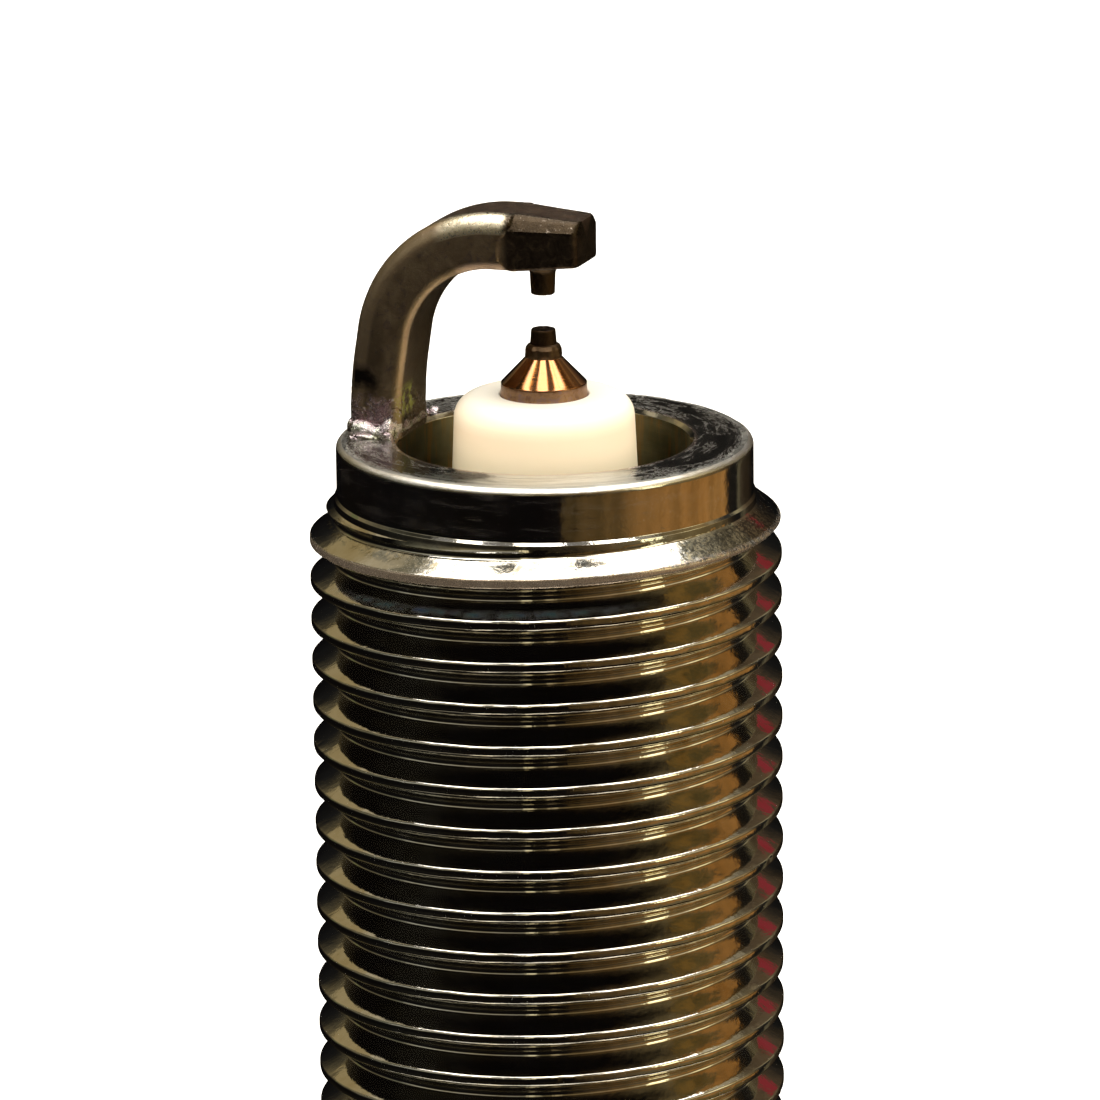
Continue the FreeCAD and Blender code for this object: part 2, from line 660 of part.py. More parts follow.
save(build_talc(), "talc_filling")
save(packing_ring(UPPER_WIRE_Z), "upper_packing_ring")
save(build_gasket(), "gasket")
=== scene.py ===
# A spark plug, upright on the Z axis with its firing end up, a loose gasket and a terminal nut.
# Pieces are drawn in millimetres: z = 0 is the shell's gasket seat, z = 26.5 the shell's end
# face and z = -50.5 the terminal end. The gasket has its own z, from 0 to 2. The ground strap
# stands on the -X side and bends over the axis. The camera is on the -Y side, turned towards +X.
import itertools
import math

import bmesh
import bpy
import numpy as np
from mathutils import Matrix, Vector


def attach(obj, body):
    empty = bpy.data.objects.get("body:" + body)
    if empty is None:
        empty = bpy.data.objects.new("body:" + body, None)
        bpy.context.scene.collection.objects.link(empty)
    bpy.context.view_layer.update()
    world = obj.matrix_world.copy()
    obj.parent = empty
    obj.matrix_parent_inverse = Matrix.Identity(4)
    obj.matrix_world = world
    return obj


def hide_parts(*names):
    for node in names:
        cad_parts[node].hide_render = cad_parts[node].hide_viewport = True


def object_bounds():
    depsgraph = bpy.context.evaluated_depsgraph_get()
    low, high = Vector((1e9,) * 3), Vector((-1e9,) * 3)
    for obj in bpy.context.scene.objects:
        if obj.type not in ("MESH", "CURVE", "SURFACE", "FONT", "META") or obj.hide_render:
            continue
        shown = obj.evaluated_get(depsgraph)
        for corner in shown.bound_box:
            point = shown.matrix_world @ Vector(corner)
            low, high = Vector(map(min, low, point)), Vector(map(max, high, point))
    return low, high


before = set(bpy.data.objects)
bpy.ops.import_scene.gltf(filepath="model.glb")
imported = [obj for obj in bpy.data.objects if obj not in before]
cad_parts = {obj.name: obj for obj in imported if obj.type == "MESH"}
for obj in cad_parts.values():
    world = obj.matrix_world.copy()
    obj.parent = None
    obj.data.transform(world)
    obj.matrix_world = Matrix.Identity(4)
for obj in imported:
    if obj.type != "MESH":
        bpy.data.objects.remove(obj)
CAD_LOW, CAD_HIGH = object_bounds()
MM = 0.001

# Shell dimensions that several sections use
SHELL_TOP = 26.5
PITCH = 1.25
CREST_Z = 25.4316          # height of one thread crest, produced, at angle 0

# ------------------------------------------------------------------ small maths
HASH = (374761393, 668265263, 1442695041, 1274126177)


def lattice(i, j, k, seed):
    """Random value from -1 to 1 at a whole-numbered point."""
    value = (i * HASH[0] + j * HASH[1] + k * HASH[2] + seed * HASH[3]) & 0xFFFFFFFF
    value = ((value ^ (value >> 13)) * HASH[3]) & 0xFFFFFFFF
    return ((value ^ (value >> 16)) & 0xFFFF) / 32767.5 - 1.0


def noise(x, y, z, seed=0):
    """Smooth value noise from -1 to 1."""
    axes = np.broadcast_arrays(*(np.asarray(axis, float) for axis in (x, y, z)))
    cells = [np.floor(axis).astype(np.int64) for axis in axes]
    parts = [axis - cell for axis, cell in zip(axes, cells)]
    parts = [part * part * (3 - 2 * part) for part in parts]
    total = 0
    for corner in itertools.product((0, 1), repeat=3):
        value = lattice(*(cell + step for cell, step in zip(cells, corner)), seed)
        for part, step in zip(parts, corner):
            value = value * (part if step else 1 - part)
        total = total + value
    return total


def fbm(x, y, z, seed=0):
    """Three octaves of noise, each half as strong and half as large as the last."""
    octaves = [0.5 ** o * noise(x * 2 ** o, y * 2 ** o, z * 2 ** o, seed + 17 * o)
               for o in range(3)]
    return sum(octaves) / 1.75


def smooth_min(first, second, width):
    share = np.clip(0.5 + 0.5 * (second - first) / width, 0, 1)
    return second + (first - second) * share - width * share * (1 - share)


def fade(x, start, end):
    """0 at start, 1 at end, eased; end may be below start."""
    part = np.clip((x - start) / (end - start), 0, 1)
    return part * part * (3 - 2 * part)


def bell(x, centre, width):
    return np.exp(-((x - centre) / width) ** 2)


def rounded(corners, segments=5, closed=False):
    """Polyline through (r, z, radius) corners; a corner without a radius stays sharp."""
    out, count = [], len(corners)
    for i, corner in enumerate(corners):
        radius = corner[2] if len(corner) > 2 else 0
        point = np.array(corner[:2], float)
        if radius <= 0 or (not closed and i in (0, count - 1)):
            out.append(tuple(point))
            continue
        before = np.array(corners[i - 1][:2], float) - point
        after = np.array(corners[(i + 1) % count][:2], float) - point
        room = (np.linalg.norm(before), np.linalg.norm(after))
        before, after = before / room[0], after / room[1]
        half = math.acos(float(np.clip(before @ after, -0.9999, 0.9999))) / 2
        cut = min(radius / math.tan(half), 0.49 * room[0], 0.49 * room[1])
        radius = cut * math.tan(half)
        middle = (before + after) / np.linalg.norm(before + after)
        centre = point + middle * (radius / math.sin(half))
        start, end = point + before * cut - centre, point + after * cut - centre
        angle = math.atan2(start[1], start[0])
        sweep = math.atan2(end[1], end[0]) - angle
        sweep = (sweep + math.pi) % (2 * math.pi) - math.pi
        for q in range(segments + 1):
            turn = angle + sweep * q / segments
            out.append((centre[0] + radius * math.cos(turn),
                        centre[1] + radius * math.sin(turn)))
    return out


def subdivide(line, step, closed=False):
    """Adds points so that none are further apart than the step."""
    out, count = [], len(line)
    for i in range(count if closed else count - 1):
        start, end = np.array(line[i]), np.array(line[(i + 1) % count])
        pieces = max(1, int(math.ceil(np.linalg.norm(end - start) / step)))
        out += [tuple(start + (end - start) * q / pieces) for q in range(pieces)]
    if not closed:
        out.append(tuple(line[-1]))
    return out


# ------------------------------------------------------------------ mesh building
def build(name, verts, faces, node, slot, materials, sharp=40, body="plug",
          indices=None, zone=None):
    """Mesh object from millimetre points, welded and smooth except at edges over sharp degrees."""
    mesh = bpy.data.meshes.new(name)
    mesh.from_pydata((np.asarray(verts, float) * MM).tolist(), [], faces)
    indices = indices or [0] * len(faces)
    mesh.polygons.foreach_set("material_index", np.array(indices, np.int32))
    if zone is not None:
        attribute = mesh.attributes.new("zone", "FLOAT_COLOR", "POINT")
        attribute.data.foreach_set("color", np.asarray(zone, np.float32).ravel())
    mesh.update()
    weld = 1e-7
    work = bmesh.new()
    work.from_mesh(mesh)
    bmesh.ops.remove_doubles(work, verts=work.verts, dist=weld)
    bmesh.ops.dissolve_degenerate(work, dist=weld, edges=work.edges)
    bmesh.ops.recalc_face_normals(work, faces=work.faces)
    work.to_mesh(mesh)
    work.free()
    for key in materials:
        mesh.materials.append(MATERIALS[key])
    mesh.shade_smooth()
    mesh.set_sharp_from_angle(angle=math.radians(sharp))
    piece = bpy.data.objects.new(name, mesh)
    bpy.context.scene.collection.objects.link(piece)
    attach(piece, body)
    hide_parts(node)


def band_faces(low, high, count):
    """Quads between two rings that start at vertices low and high."""
    return [(low + q, low + (q + 1) % count, high + (q + 1) % count, high + q)
            for q in range(count)]


def grid_faces(rings, count, closed=False):
    faces = []
    for i in range(rings if closed else rings - 1):
        faces += band_faces(i * count, (i + 1) % rings * count, count)
    return faces


def lathe(outline, count, closed=False, shape=None):
    """Turns (r, z) points; a row at r = 0 becomes one point. shape may move the other rows."""
    outline = np.array(outline, float)
    rings = len(outline)
    radius = np.repeat(outline[:, :1], count, 1)
    z = np.repeat(outline[:, 1:2], count, 1)
    angle = np.repeat((np.arange(count) * 2 * math.pi / count)[None], rings, 0)
    pole = outline[:, 0] < 1e-6
    if shape:
        radius, z = shape(radius, z, angle)
    verts, starts, total = [], [], 0
    for i in range(rings):
        starts.append(total)
        if pole[i]:
            verts.append(np.array([[0.0, 0.0, outline[i, 1]]]))
        else:
            x, y = radius[i] * np.cos(angle[i]), radius[i] * np.sin(angle[i])
            verts.append(np.stack([x, y, z[i]], 1))
        total += len(verts[-1])
    faces = []
    for i in range(rings if closed else rings - 1):
        j = (i + 1) % rings
        low, high = starts[i], starts[j]
        if pole[i]:
            faces += [(low, high + (q + 1) % count, high + q) for q in range(count)]
        elif pole[j]:
            faces += [(low + q, low + (q + 1) % count, high) for q in range(count)]
        else:
            faces += band_faces(low, high, count)
    return np.concatenate(verts), faces


def turned(name, outline, count, shape, closed=False, **labels):
    verts, faces = lathe(outline, count, closed, shape)
    build(name, verts, faces, **labels)


def thread_outline(crest_r, root_r, pitch, land, crest_round, root_round, flank, segments):
    """One pitch of a 60 degree thread, crest middle to crest middle, as (z offset, radius)."""
    drop = (crest_r - root_r) * math.tan(math.radians(30))
    half = land / 2
    line = rounded([
        (crest_r, 0.0), (crest_r, half, crest_round), (root_r, half + drop, root_round),
        (root_r, pitch - half - drop, root_round), (crest_r, pitch - half, crest_round),
        (crest_r, pitch)], segments)
    out = [line[0]]
    for start, end in zip(line[:-1], line[1:]):
        pieces = flank if math.hypot(end[0] - start[0], end[1] - start[1]) > 0.16 else 1
        for q in range(1, pieces + 1):
            out.append((start[0] + (end[0] - start[0]) * q / pieces,
                        start[1] + (end[1] - start[1]) * q / pieces))
    return [(z, r) for r, z in out[:-1]]


def add_thread(verts, faces, outline, pitch, start_z, low_z, high_z, count, shape,
               low_ring, high_ring):
    """Adds a grid that follows the helix. Points past its flat ends join the rings there."""
    size = len(outline)
    first = int(math.floor((low_z - start_z) / pitch)) - 2
    last = int(math.ceil((high_z - start_z) / pitch)) + 2
    rows = np.arange((last - first) * size)
    offset, profile_r = np.array(outline).T
    row_z = start_z + (first + rows // size) * pitch + offset[rows % size]
    around = np.arange(count) * 2 * math.pi / count
    z = row_z[:, None] + pitch * around[None] / (2 * math.pi)
    radius = np.repeat(profile_r[rows % size][:, None], count, 1)
    angle = np.repeat(around[None], len(rows), 0)
    radius, moved_z = shape(radius, z, angle)
    low, high = z <= low_z + 1e-4, z >= high_z - 1e-4
    middle = ~(low | high)
    base = len(verts)
    index = -np.ones(z.shape, np.int64)
    index[middle] = base + np.arange(middle.sum())
    columns = np.repeat(np.arange(count)[None], len(rows), 0)
    index[low] = low_ring + columns[low]
    index[high] = high_ring + columns[high]
    points = np.stack([radius * np.cos(angle), radius * np.sin(angle), moved_z], -1)[middle]
    added = []
    for q in range(count):
        if q < count - 1:
            corners = index[:-1, q], index[:-1, q + 1], index[1:, q + 1], index[1:, q]
        else:
            # the seam joins the first column one pitch further on
            corners = (index[:-1 - size, q], index[size:-1, 0],
                       index[size + 1:, 0], index[1:-size, q])
        for quad in np.stack(corners, 1).tolist():
            face = tuple(dict.fromkeys(quad))
            if len(face) >= 3 and max(face) >= base:
                added.append(face)
    return np.concatenate([verts, points]), faces + added


# ------------------------------------------------------------------ shader nodes
class Field:
    """A node's output. Arithmetic adds math nodes; the methods add the other kinds."""

    def __init__(self, graph, socket):
        self.graph, self.socket = graph, socket

    def output(self, name):
        return Field(self.graph, self.socket.node.outputs[name])

    def outputs(self):
        return [Field(self.graph, socket) for socket in self.socket.node.outputs]

    def math(self, operation, *others, clamp=False):
        return self.graph.math(operation, self, *others, clamp=clamp)

    def __add__(self, other):
        return self.math("ADD", other)

    def __radd__(self, other):
        return self.graph.math("ADD", other, self)

    def __sub__(self, other):
        return self.math("SUBTRACT", other)

    def __rsub__(self, other):
        return self.graph.math("SUBTRACT", other, self)

    def __mul__(self, other):
        return self.math("MULTIPLY", other)

    def __truediv__(self, other):
        return self.math("DIVIDE", other)

    def vector(self, operation, other, output="Vector"):
        return self.graph.add("VectorMath", {0: self, 1: other}, output, operation=operation)

    def stretch(self, factors):
        return self.vector("MULTIPLY", factors)

    def scaled(self, scale):
        return self.graph.add("VectorMath", {0: self, "Scale": scale}, operation="SCALE")

    def split(self):
        return self.graph.add("SeparateXYZ", {0: self}).outputs()

    def polar(self):
        """Radius and angle about the Z axis, and height."""
        x, y, z = self.split()
        radius = (x * x + y * y).math("SQRT")
        return radius, y.math("ARCTAN2", x), z

    def mix(self, other, amount, mode="MIX"):
        """This colour turned into the other one by amount."""
        return self.graph.mix(self, other, amount, mode)

    def lerp(self, low, high):
        return self.graph.add("MapRange", {0: self, 3: low, 4: high}, clamp=True)

    def fade(self, start, end):
        """0 at start, 1 at end, eased; end may be below start."""
        return self.graph.add("MapRange", {0: self, 1: start, 2: end},
                              interpolation_type="SMOOTHSTEP", clamp=True)

    def band(self, low, high, soft):
        """1 between low and high, falling to 0 at them over the width soft."""
        rising = (self - low).math("DIVIDE", soft, clamp=True)
        falling = (high - self).math("DIVIDE", soft, clamp=True)
        return rising * falling

    def noise(self, scale, detail=3.0, rough=0.55, distort=0.0):
        return self.graph.add("TexNoise", {
            "Vector": self, "Scale": scale, "Detail": detail, "Roughness": rough,
            "Distortion": distort})

    def ramp(self, stops):
        """Colour from (position, colour) stops."""
        colour = self.graph.add("ValToRGB", {0: self})
        elements = colour.socket.node.color_ramp.elements
        while len(elements) < len(stops):
            elements.new(0.5)
        for element, (position, shade) in zip(elements, stops):
            element.position = position
            element.color = (*shade, 1)
        return colour

    def bump(self, strength, distance):
        return self.graph.add("Bump", {
            "Strength": strength, "Distance": distance, "Height": self})


class Graph:
    """Node tree of a new material or world."""

    def __init__(self, name, library=bpy.data.materials):
        self.owner = library.new(name)
        self.owner.use_nodes = True
        self.tree = self.owner.node_tree
        self.tree.nodes.clear()

    def add(self, kind, values, output=0, **settings):
        """Adds a node; values holds numbers, colours or Fields for its inputs."""
        node = self.tree.nodes.new("ShaderNode" + kind)
        for key, value in settings.items():
            setattr(node, key, value)
        for key, value in values.items():
            socket = node.inputs[key]
            if isinstance(value, Field):
                self.tree.links.new(value.socket, socket)
            elif socket.type == "RGBA":
                socket.default_value = (*value, 1.0)
            else:
                socket.default_value = value
        return Field(self, node.outputs[output]) if node.outputs else None

    def math(self, operation, *values, clamp=False):
        return self.add("Math", dict(enumerate(values)), operation=operation, use_clamp=clamp)

    def mix(self, first, second, amount, mode="MIX"):
        return self.add("Mix", {0: amount, 6: first, 7: second}, 2,
                        data_type="RGBA", blend_type=mode)

    def place(self):
        """Position on the piece in millimetres."""
        return self.add("TexCoord", {}, "Object").scaled(1000.0)

    def principled(self, colour, metallic, roughness, normal, **extra):
        values = {"Base Color": colour, "Metallic": metallic, "Roughness": roughness,
                  "Normal": normal}
        values.update({key.replace("_", " "): value for key, value in extra.items()})
        self.add("OutputMaterial", {"Surface": self.add("BsdfPrincipled", values)})
        return self.owner


# ------------------------------------------------------------------ materials
# Lengths in masks and noise are millimetres; bump distances are metres.
def shell_plate():
    """Glossy plate, scuffed along the thread crests and granular at the shell's top corner."""
    graph = Graph("shell_plate")
    place = graph.place()
    radius, angle, z = place.polar()
    turning = place.stretch((0.10, 0.10, 9.0)).noise(scale=1.0, detail=1.0, rough=0.5)
    blotch = place.noise(scale=0.9, detail=4.0, rough=0.6, distort=0.4)
    medium = place.noise(scale=2.6, detail=3.0, rough=0.6, distort=0.5)
    fine = place.noise(scale=9.0, detail=4.0, rough=0.65)
    grit = place.noise(scale=8.0, detail=5.0, rough=0.75, distort=0.6)
    colour = blotch.ramp([
        (0.25, (0.70, 0.62, 0.47)), (0.5, (0.82, 0.77, 0.67)), (0.8, (0.88, 0.85, 0.80))])
    scuff = radius.fade(6.80, 6.94) * fine.fade(0.56, 0.70)
    rough = blotch.lerp(0.03, 0.085) + scuff * 0.22
    corner = z.fade(26.30, 26.40) * radius.fade(5.80, 5.92)
    rough = rough + corner * grit.lerp(0.16, 0.42)

    # place along the thread in turns: -1 on the first crest, -2 on the second
    turns = (z - CREST_Z) / PITCH - angle / (2 * math.pi)
    # brown wear on the first crest
    worn = turns.band(-1.16, -0.88, 0.04) * radius.fade(6.80, 6.90)
    colour = colour.mix((0.56, 0.42, 0.30), worn * 0.85)
    rough = rough + worn * 0.20
    # blue-green tint on part of the second
    blue = (turns.band(-2.00, -1.62, 0.08) * radius.band(6.52, 6.90, 0.16)
            * medium.fade(0.26, 0.66) * angle.band(-2.45, -0.70, 0.40))
    hue = place.noise(scale=0.55, detail=2.0).ramp([
        (0.38, (0.08, 0.15, 0.48)), (0.52, (0.11, 0.32, 0.34)), (0.64, (0.18, 0.15, 0.42))])
    colour = colour.mix(hue, blue * 0.85)
    rough = rough + blue * 0.12

    # first flank: tan film, grey mottling and a burnt patch
    flank = z.fade(24.02, 24.12) * z.fade(24.66, 24.60) * radius.fade(6.25, 6.35)
    film = place.noise(scale=1.7, detail=5.0, rough=0.7, distort=1.2).fade(0.50, 0.62)
    colour = colour.mix((0.42, 0.36, 0.24), flank * film)
    rough = rough + flank * film * grit.lerp(0.05, 0.30)
    mottle = flank * place.noise(scale=2.3, detail=5.0, rough=0.7, distort=1.0).fade(0.48, 0.60)
    colour = colour.mix((0.35, 0.37, 0.38), mottle * 0.65)
    burnt = flank * angle.fade(-0.85, -0.60) * angle.fade(0.9, 0.6) * grit.fade(0.55, 0.44)
    colour = colour.mix((0.16, 0.155, 0.15), burnt * 0.85)

    # the seat, hexagon and lip are satin
    satin = z.fade(-0.2, -0.6)
    even = blotch.ramp([(0.3, (0.60, 0.58, 0.53)), (0.7, (0.68, 0.665, 0.625))])
    colour = colour.mix(even, satin * 0.85)
    rough = rough + satin * medium.lerp(0.03, 0.10)
    metal = 1.0 - satin * 0.15
    metal = metal - blue * 0.075
    metal = metal - worn * medium.lerp(0.05, 0.13)
    # smudges on the plain wall above the thread
    wall = z.fade(24.95, 25.15) * radius.band(5.80, 6.20, 0.05)
    streaks = place.stretch((0.45, 0.45, 3.2))
    streaks = streaks.noise(scale=1.2, detail=6.0, rough=0.75, distort=0.8)
    smudge = wall * streaks.fade(0.50, 0.66)
    metal = metal - smudge * 0.011
    rough = rough + smudge * 0.04

    relief = turning * 0.35 + fine * 0.10
    relief = relief + medium * 1.0
    relief = relief + corner * (grit * 1.6)
    normal = relief.bump(strength=0.45, distance=0.000014)
    return graph.principled(colour, metal, rough, normal)


def shell_rim():
    """Blackened end face with wisps of bare metal, and a pale painted reflection of the insulator
    across its front.
    """
    graph = Graph("shell_rim")
    place = graph.place()
    radius, angle, _ = place.polar()
    x, y, _ = place.split()
    around = graph.add("CombineXYZ", {0: radius * 1.5, 1: angle * 2.2, 2: x * 0.12})
    swirl = around.noise(scale=1.0, detail=5.0, rough=0.62, distort=1.6)
    wisps = around.noise(scale=1.9, detail=6.0, rough=0.66, distort=2.6)
    fine = place.noise(scale=6.0, detail=5.0, rough=0.72, distort=1.0)
    line = wisps.band(0.470, 0.535, 0.014) * swirl.fade(0.40, 0.55)
    colour = swirl.ramp([
        (0.30, (0.050, 0.043, 0.037)), (0.50, (0.13, 0.115, 0.098)),
        (0.62, (0.24, 0.22, 0.195)), (0.80, (0.085, 0.075, 0.066))])
    colour = colour.mix((0.36, 0.34, 0.30), line)

    # distances towards the camera and to its right; the pale stretch in front is a painted reflection
    # of the insulator, and its left end is dark and green
    cos_front, sin_front = math.cos(math.radians(-70)), math.sin(math.radians(-70))
    forward = x * cos_front + y * sin_front
    side = x * -sin_front + y * cos_front
    wobble = (swirl - 0.5) * 2.0
    # painted reflection: mask of the pale stretch that stands in for the insulator mirrored in the
    # face
    front = forward.fade(3.2, 4.4) * (side + wobble).fade(3.1, 2.2)
    lines = around.stretch((6.0, 1.0, 1.0))
    lines = lines.noise(scale=1.0, detail=5.0, rough=0.7, distort=0.4)
    left = (side + wobble).fade(-0.9, -2.4)
    pale = lines.ramp([
        (0.30, (0.46, 0.44, 0.37)), (0.48, (0.70, 0.67, 0.58)),
        (0.62, (0.84, 0.81, 0.72)), (0.75, (0.60, 0.57, 0.49))])
    green = lines.ramp([
        (0.32, (0.030, 0.032, 0.028)), (0.47, (0.15, 0.16, 0.135)),
        (0.56, (0.40, 0.40, 0.35)), (0.66, (0.10, 0.105, 0.09))])
    colour = colour.mix(pale.mix(green, left), front)
    dark_spot = front * (side + wobble).band(-2.9, -1.5, 0.4) * forward.fade(5.1, 4.6)
    colour = colour.mix((0.02, 0.018, 0.016), dark_spot)
    # bare outer edge and coppery inner edge
    edge = (radius + (fine - 0.5) * 0.25).fade(5.70, 5.84)
    colour = colour.mix((0.62, 0.60, 0.54), edge * fine.lerp(0.35, 1.0))
    colour = colour.mix((0.62, 0.50, 0.42), radius.fade(4.54, 4.46) * 0.8)

    rough = fine.lerp(0.06, 0.14) + line * 0.22
    rough = rough + front * left.lerp(0.26, 0.18)
    rough = rough + edge * 0.18
    relief = swirl * 0.8 + fine * 0.18
    relief = relief + line * 0.35
    relief = relief + edge * (fine * 0.5)
    normal = relief.bump(strength=0.5, distance=0.000018)
    return graph.principled(colour, front.lerp(0.94, 0.98), rough.math("MINIMUM", 0.46), normal)


def shell_bore():
    """Turned inner wall with an olive and brown film; the chamfer at its mouth is bare."""
    graph = Graph("shell_bore")
    place = graph.place()
    z = place.split()[2]
    turning = place.stretch((0.2, 0.2, 14.0)).noise(scale=1.0)
    blotch = place.noise(scale=0.7)
    streak = place.stretch((2.2, 2.2, 0.25)).noise(scale=1.0, detail=4.0, rough=0.6)
    colour = blotch.ramp([(0.3, (0.17, 0.16, 0.085)), (0.7, (0.36, 0.33, 0.20))])
    colour = colour.mix((0.50, 0.30, 0.12), streak.fade(0.50, 0.62) * 0.55)
    colour = colour.mix((0.62, 0.50, 0.42), z.fade(26.36, 26.40))
    normal = turning.bump(strength=0.35, distance=0.00002)
    return graph.principled(colour, 1.0, blotch.lerp(0.22, 0.40), normal)


def strap_alloy():
    """Dark bronze heat tint, with a painted highlight along one corner, painted shade on top and
    near-black at the end.
    """
    graph = Graph("strap_alloy")
    place = graph.place()
    x, y, z = place.split()
    # the mesh's "zone": inner roundings, outer roundings, top and outer face, and in alpha
    # the underside and bore-side face
    zone = graph.add("Attribute", {}, "Color", attribute_name="zone")
    inner, outer, top = graph.add("SeparateColor", {0: zone}).outputs()
    under = zone.output("Alpha")
    speck = place.noise(scale=11.0, detail=4.0, rough=0.7)
    blotch = place.noise(scale=1.4, detail=4.0, rough=0.6, distort=0.5)
    drawn = place.noise(scale=3.2, detail=5.0, rough=0.7, distort=0.7)
    colour = blotch.ramp([
        (0.25, (0.29, 0.20, 0.12)), (0.5, (0.45, 0.325, 0.20)), (0.75, (0.58, 0.43, 0.27))])
    colour = colour.mix((0.17, 0.12, 0.13), drawn.fade(0.52, 0.66) * 0.45)

    # near side of the leg, darker down its middle
    shade = z.band(26.0, 31.0, 1.0) * y.fade(-1.15, -1.26) * x.band(-5.35, -4.45, 0.25)
    colour = colour.mix((0.12, 0.09, 0.06), shade * 0.35)
    colour = colour.mix((0.34, 0.255, 0.15), inner * 0.55)
    # painted shade: the underside and the bore-side face darkened
    colour = colour.mix((0.10, 0.080, 0.050), under * 0.75)
    # painted highlight on the near lower corner of the straight run
    painted_low_highlight = inner * x.fade(-2.4, -1.9) * y.fade(0.0, -0.6)
    colour = colour.mix((0.84, 0.62, 0.46), painted_low_highlight * 0.9)
    # painted highlight along the near upper corner of the straight run, with a ragged border
    painted_corner_highlight = outer * x.fade(-3.30, -2.45) * y.fade(0.0, -0.5)
    painted_corner_highlight = painted_corner_highlight * (drawn * 0.9 + painted_corner_highlight).fade(0.70, 1.05)
    colour = colour.mix((0.92, 0.80, 0.58), painted_corner_highlight)
    # painted sheen, dimmer, along the outer rounding round the bend
    dull = outer * x.fade(-2.45, -3.30)
    colour = colour.mix((0.66, 0.49, 0.31), dull * 0.6)
    colour = colour.mix((0.78, 0.70, 0.55), speck.fade(0.645, 0.70) * 0.6)

    # painted shade, purple-brown, on the top and outer face; near-black on the pressed end
    painted_top_shade = drawn.ramp([
        (0.30, (0.105, 0.072, 0.052)), (0.50, (0.225, 0.152, 0.108)),
        (0.70, (0.36, 0.24, 0.165))])
    pad = (x + (drawn - 0.5) * 0.35).fade(-0.92, -0.62)
    face = drawn.ramp([
        (0.30, (0.035, 0.024, 0.017)), (0.52, (0.085, 0.060, 0.042)),
        (0.75, (0.20, 0.145, 0.09))])
    colour = colour.mix(face, pad)
    colour = colour.mix(painted_top_shade, top * 0.92)
    colour = colour.mix((0.032, 0.022, 0.012), pad * outer * drawn.lerp(0.65, 1.0))
    chips = speck.fade(0.60, 0.66) * top.math("MAXIMUM", pad * outer * 0.32)
    colour = colour.mix((0.62, 0.52, 0.42), chips * 0.8)

    # above the weld: purple and rose tints at the foot, and a black scorch over them
    tints = place.noise(scale=1.6, detail=3.0, rough=0.6, distort=1.2).ramp([
        (0.35, (0.40, 0.30, 0.40)), (0.46, (0.60, 0.36, 0.46)),
        (0.56, (0.70, 0.52, 0.56)), (0.68, (0.34, 0.28, 0.52))])
    ragged = place.noise(scale=2.6, detail=4.0, rough=0.6, distort=0.8)
    foot = (z + (ragged - 0.5) * 2.4).fade(27.85, 27.15) * place.noise(scale=2.2).lerp(0.4, 1.0)
    side = x.fade(-4.20, -4.40)
    colour = colour.mix(tints, foot * side)
    scorch = (z.band(27.65, 28.75, 0.35) * x.band(-5.75, -4.55, 0.3) * y.fade(-1.0, -1.2)
              * place.noise(scale=1.5, detail=3.0, rough=0.6, distort=0.4).fade(0.30, 0.66))
    colour = colour.mix((0.03, 0.022, 0.018), scorch)

    # olive and black patches low on the bore side
    def bore_patch(z_low, z_high, start, end):
        patches = place.noise(scale=2.4, detail=4.0, rough=0.65, distort=0.8)
        return x.fade(-4.42, -4.25) * z.band(z_low, z_high, 0.3) * patches.fade(start, end)

    olive = bore_patch(z_low=26.9, z_high=28.1, start=0.46, end=0.56) * y.band(-1.3, 0.2, 0.4)
    colour = colour.mix((0.42, 0.44, 0.10), olive)
    black = bore_patch(z_low=26.4, z_high=27.7, start=0.46, end=0.40)
    colour = colour.mix((0.03, 0.03, 0.015), black * 0.8)
    # painted glints: near-white specks on the foot above the weld
    spark = foot * speck.fade(0.56, 0.64)
    colour = colour.mix((0.86, 0.80, 0.80), spark * 0.8)

    metal = 0.975 - olive * 0.18
    metal = metal - spark * 0.14
    rough = speck.lerp(0.24, 0.40) - painted_corner_highlight * 0.04
    rough = rough - foot * side * 0.12
    relief = speck * 0.6 + place.noise(scale=28.0) * 0.4
    relief = relief + drawn * 0.9
    relief = relief + foot * (speck * 2.2)
    normal = relief.bump(strength=0.6, distance=0.000026)
    return graph.principled(colour, metal, rough, normal)


def weld_flash():
    """Lumpy weld metal at the strap's foot, rose and olive with dark pits."""
    graph = Graph("weld_flash")
    place = graph.place()
    blotch = place.noise(scale=2.2, detail=4.0, rough=0.6, distort=0.6)
    fine = place.noise(scale=14.0, detail=4.0, rough=0.7)
    lumps = place.noise(scale=5.0, detail=4.0, rough=0.65, distort=0.8)
    colour = blotch.ramp([
        (0.25, (0.48, 0.38, 0.44)), (0.42, (0.72, 0.60, 0.62)), (0.55, (0.84, 0.80, 0.76)),
        (0.7, (0.56, 0.58, 0.38)), (0.82, (0.80, 0.70, 0.68))])
    colour = colour.mix((0.07, 0.05, 0.04), lumps.fade(0.46, 0.36))
    normal = (blotch + (fine * 0.4 + lumps)).bump(strength=0.8, distance=0.00007)
    return graph.principled(colour, 1.0, fine.lerp(0.12, 0.34), normal)


def precious(name, dark, light, scale=16.0, rough=(0.22, 0.5)):
    """Dark metal with a grain drawn out along the axis."""
    graph = Graph(name)
    place = graph.place()
    grain = place.stretch((1.0, 1.0, 0.35)).noise(scale, detail=4.0, rough=0.7)
    blotch = place.noise(scale=2.6)
    colour = graph.mix(dark, light, blotch)
    normal = (grain + blotch * 0.5).bump(strength=0.6, distance=0.00003)
    return graph.principled(colour, 1.0, grain.lerp(*rough), normal)


